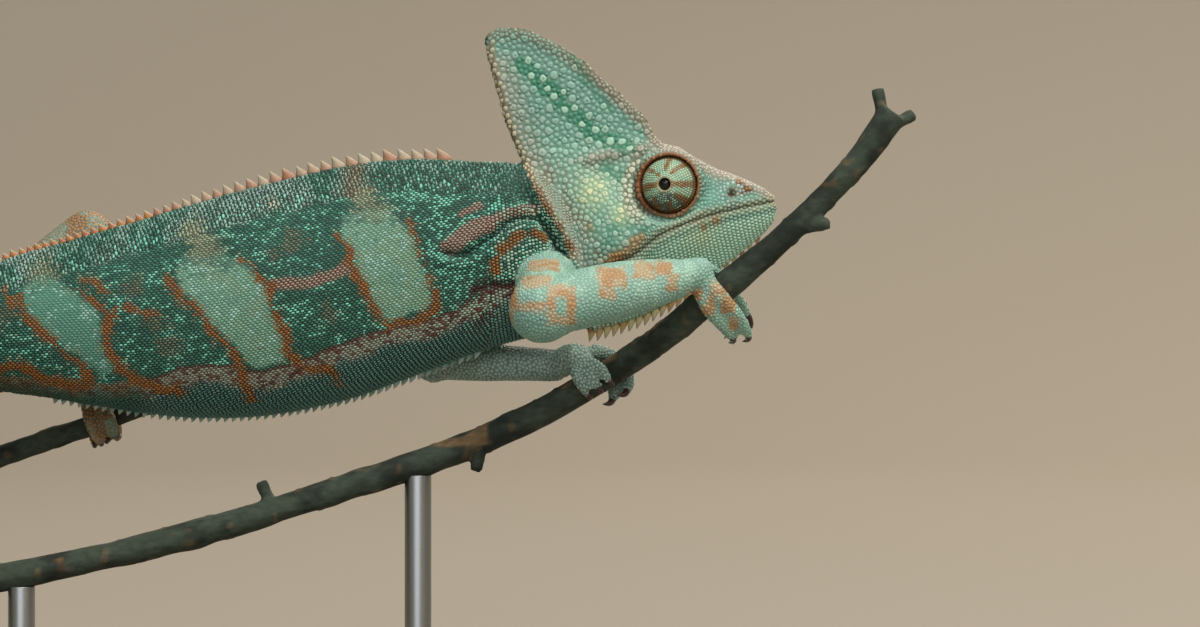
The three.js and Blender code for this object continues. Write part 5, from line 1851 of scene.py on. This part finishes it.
# ------------------------------------------------------------ display stand
def stained_walnut(name):
    """Oiled walnut, planed and varnished satin: long dark growth lines and fine pores along the board."""
    material, tree = new_material(name)
    place = add_node(tree, "ShaderNodeTexCoord").outputs["Object"]
    board = add_node(tree, "ShaderNodeMapping", {"Vector": place, "Scale": (0.12, 1.0, 1.0)})
    sway = add_node(tree, "ShaderNodeTexNoise", {"Vector": board, "Scale": 1 / (14 * MM), "Detail": 2.0})
    swap = add_node(tree, "ShaderNodeVectorMath", {0: sway.outputs["Color"], 1: (0, 9 * MM, 9 * MM),
                                                   2: board}, operation="MULTIPLY_ADD")
    growth = add_node(tree, "ShaderNodeTexNoise", {"Vector": swap, "Scale": 1 / (3.2 * MM), "Detail": 3.0,
                                                   "Roughness": 0.55})
    along_pores = add_node(tree, "ShaderNodeMapping", {"Vector": place, "Scale": (0.06, 1.0, 1.0)})
    pores = add_node(tree, "ShaderNodeTexNoise", {"Vector": along_pores, "Scale": 1 / (0.55 * MM),
                                                  "Detail": 2.0})
    tones = add_node(tree, "ShaderNodeValToRGB", {"Fac": growth})
    for stop, position, colour in zip(tones.color_ramp.elements, (0.32, 0.68), ("2c1a10", "6d4529")):
        stop.position, stop.color = position, rgba(colour)
    darken = add_node(tree, "ShaderNodeMapRange", {"Value": pores, "From Min": 0.35, "From Max": 0.6,
                                                   "To Min": 0.62, "To Max": 1.05})
    tinted = add_node(tree, "ShaderNodeVectorMath", {0: tones, 1: darken}, operation="MULTIPLY")
    relief = add_node(tree, "ShaderNodeBump", {"Height": pores, "Strength": 0.25, "Distance": 0.1 * MM})
    return shade(material, {"Base Color": tinted, "Normal": relief, "Roughness": 0.42, "Coat Weight": 0.25,
                            "Coat Roughness": 0.22})


def brushed_steel(name):
    """Stainless steel bar, brushed round its length, which draws its highlights out into bands."""
    material, tree = new_material(name)
    place = add_node(tree, "ShaderNodeTexCoord").outputs["Object"]
    lathe_marks = add_node(tree, "ShaderNodeMapping", {"Vector": place, "Scale": (0.1, 0.1, 1.0)})
    scratches = add_node(tree, "ShaderNodeTexNoise", {"Vector": lathe_marks, "Scale": 1 / (0.12 * MM),
                                                      "Detail": 2.0})
    gloss = add_node(tree, "ShaderNodeMapRange", {"Value": scratches, "To Min": 0.22, "To Max": 0.42})
    relief = add_node(tree, "ShaderNodeBump", {"Height": scratches, "Strength": 0.15, "Distance": 0.05 * MM})
    return shade(material, {"Base Color": rgba("9a9c9d"), "Metallic": 1.0, "Roughness": gloss,
                            "Normal": relief})


BASE_CORNER = 14  # radius of the board's corners
PLINTH = 4.2  # height of the board's straight lower edge
MOULDING = [  # inset and rise of each step up the moulding, in millimetres
    (0.5, 0.45), (0.9, 0.15), (0.35, 0.75), (0.55, 1.2), (0.85, 1.2), (1.2, 1.0), (1.5, 0.6), (0.35, 0.3),
    (0.3, 1.1), (0.3, 0.5), (0.6, 0.25),
]


def make_base(walnut):
    """A board with round corners and a moulded edge: a low plinth, a cove and a raised flat top."""
    low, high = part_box("stand_base")
    size, corner, clear = high - low, BASE_CORNER * MM, 0.05 * MM
    bpy.ops.object.select_all(action="DESELECT")
    bpy.ops.mesh.primitive_plane_add(size=1, location=((low.x + high.x) / 2, (low.y + high.y) / 2, low.z))
    base = bpy.context.object
    base.name = base.data.name = "stand_base_walnut"
    base.scale = (size.x - 2 * clear, size.y - 2 * clear, 1)
    bpy.ops.object.transform_apply(location=True, rotation=True, scale=True)
    start_edit(base)
    bpy.ops.mesh.bevel(offset=corner, segments=10, affect="VERTICES")
    bpy.ops.mesh.select_all(action="SELECT")
    bpy.ops.mesh.flip_normals()
    bpy.ops.mesh.extrude_region_move(TRANSFORM_OT_translate={"value": (0, 0, PLINTH * MM)})
    for inset, rise in MOULDING:
        bpy.ops.mesh.inset(thickness=inset * MM, depth=0)
        bpy.ops.transform.translate(value=(0, 0, rise * MM))
    risen = (PLINTH + sum(rise for _, rise in MOULDING)) * MM
    bpy.ops.transform.translate(value=(0, 0, size.z - clear - risen))
    end_edit()
    bpy.ops.object.shade_smooth_by_angle(angle=math.radians(35))
    finished(base, walnut, ["stand_base"])


FOOT_WIDTH = 2.3  # the foot collar's lower radius, as a share of the bar's
COLLAR = [  # share of the bar's radius, and height above the last step, from the collar's edge to the bar
    (2.2, 0.25), (2.0, 0.1), (1.35, 0.35), (1.08, 0.7), (0.99, 0.8),
]


def make_rod(index, steel):
    """A turned rod: a screwed-down foot collar and the bar."""
    node = f"stand_rod_{index}"
    low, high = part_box(node)
    middle = (low + high) / 2
    bpy.ops.object.select_all(action="DESELECT")
    bpy.ops.mesh.primitive_cylinder_add(vertices=40, radius=FOOT_WIDTH * ROD_RADIUS * MM, depth=1.6 * MM,
                                        end_fill_type="NGON", location=(middle.x, middle.y, low.z + 0.5 * MM))
    rod = bpy.context.object
    rod.name = rod.data.name = f"{node}_steel"
    bpy.ops.object.transform_apply(location=True, rotation=True, scale=True)
    top = max(v.co.z for v in rod.data.vertices)
    bpy.ops.object.mode_set(mode="EDIT")
    mesh = bmesh.from_edit_mesh(rod.data)
    for face in mesh.faces:
        face.select = face.calc_center_median().z > top - 0.01 * MM and face.normal.z > 0.9
    bmesh.update_edit_mesh(rod.data)
    width, height = FOOT_WIDTH, top
    for share, rise in COLLAR:
        bpy.ops.mesh.extrude_region_move(TRANSFORM_OT_translate={"value": (0, 0, rise * MM)})
        bpy.ops.transform.resize(value=(share / width, share / width, 1))
        width, height = share, height + rise * MM
    bar_top = high.z - 1.2 * MM
    bpy.ops.mesh.extrude_region_move(TRANSFORM_OT_translate={"value": (0, 0, bar_top - height)})
    end_edit()
    finish_modifier(rod, "BEVEL", width=0.15 * MM, segments=2, limit_method="ANGLE",
                    angle_limit=math.radians(30))
    bpy.ops.object.shade_smooth_by_angle(angle=math.radians(40))
    finished(rod, steel, [node])


# ------------------------------------------------------------ stage, light and camera
def plain_paint(name, colour, roughness):
    """Matt emulsion paint, rolled on: even, with a very faint unevenness."""
    material, tree = new_material(name)
    place = add_node(tree, "ShaderNodeTexCoord").outputs["Object"]
    roller = add_node(tree, "ShaderNodeTexNoise", {"Vector": place, "Scale": 1 / (4 * MM)})
    relief = add_node(tree, "ShaderNodeBump", {"Height": roller, "Strength": 0.05, "Distance": 0.1 * MM})
    return shade(material, {"Base Color": rgba(colour), "Roughness": roughness, "Normal": relief})


def make_stage():
    """A plain floor that curves up into a low wall all the way round."""
    flat, curve, wall = 1.9, 0.9, 1.4
    profile = [(0.0, 0.0), (flat, 0.0)]
    for angle in np.linspace(0.12, math.pi / 2, 12):
        profile.append((flat + curve * math.sin(angle), curve * (1 - math.cos(angle))))
    profile.append((flat + curve, wall))
    floor = start_turned("studio_floor", profile, 96, MM)
    end_edit(inside=True)
    bpy.ops.object.shade_smooth()
    floor.data.materials.append(plain_paint("Studio floor, warm grey emulsion", "8f8b80", 0.85))


def add_softbox(name, place, size, watts, colour, target=(0.02, 0, 0.13)):
    """A square light that faces the animal."""
    light = bpy.data.lights.new(name, "AREA")
    light.shape, light.size, light.energy, light.color = "SQUARE", size, watts, linear(colour)
    thing = link_object(name, light)
    thing.location = place
    thing.rotation_euler = (Vector(target) - Vector(place)).to_track_quat("-Z", "Y").to_euler()


def light_scene():
    add_softbox("key_softbox", (1.0, -1.35, 2.6), 2.0, 104, "fff6ea")
    add_softbox("fill_softbox", (-2.2, -2.2, 1.2), 2.4, 14, "e6f2ff")
    add_softbox("front_softbox", (-0.2, -2.6, 0.9), 2.4, 32, "eef6ff")
    add_softbox("back_softbox", (0.9, 2.2, 2.2), 1.6, 60, "ffead6")
    world = bpy.data.worlds.new("Soft daylight")
    bpy.context.scene.world = world
    world.use_nodes = True
    background = world.node_tree.nodes["Background"]
    background.inputs["Color"].default_value = rgba("e6e4e0")
    background.inputs["Strength"].default_value = 0.3


def add_camera():
    """The view of the animal's right side, level, from about three quarters of a metre."""
    camera = bpy.data.cameras.new("camera")
    camera.lens, camera.sensor_width = 100, 36
    thing = link_object("camera", camera)
    thing.location = on_model((44.4, -740, 119.6))
    thing.rotation_euler = (math.radians(90), 0, 0)
    bpy.context.scene.camera = thing


# ------------------------------------------------------------ the whole model
make_animal()
lid_skin = scaly_skin("Chameleon eyelid scales, fine satin keratin", 0.42, 0.2, 0.2)
wet_eye = plain("Eyeball, black and wet with tears", "0a0d0c", Roughness=0.16, **{"Specular IOR Level": 0.4})
for eye_side, eye_label in ((-1, "right"), (1, "left")):
    make_eye(eye_side, eye_label, lid_skin)
    make_eyeball(eye_side, eye_label, wet_eye)
make_claws(plain("Claw horn, dark and polished by use", "3a2622", Roughness=0.28))
make_spines(scaly_skin("Crest spines, soft pale keratin", 0.5, 0.5, 0.2))
finished(make_perch(), living_bark("Twig bark, matt young cork"), ["perch_branch", "perch_shoot"])
make_base(stained_walnut("Walnut board, varnished satin"))
rod_steel = brushed_steel("Stainless steel bar, brushed")
for rod_index in (1, 2):
    make_rod(rod_index, rod_steel)
make_stage()
light_scene()
add_camera()
bpy.context.scene.view_settings.view_transform = "Standard"
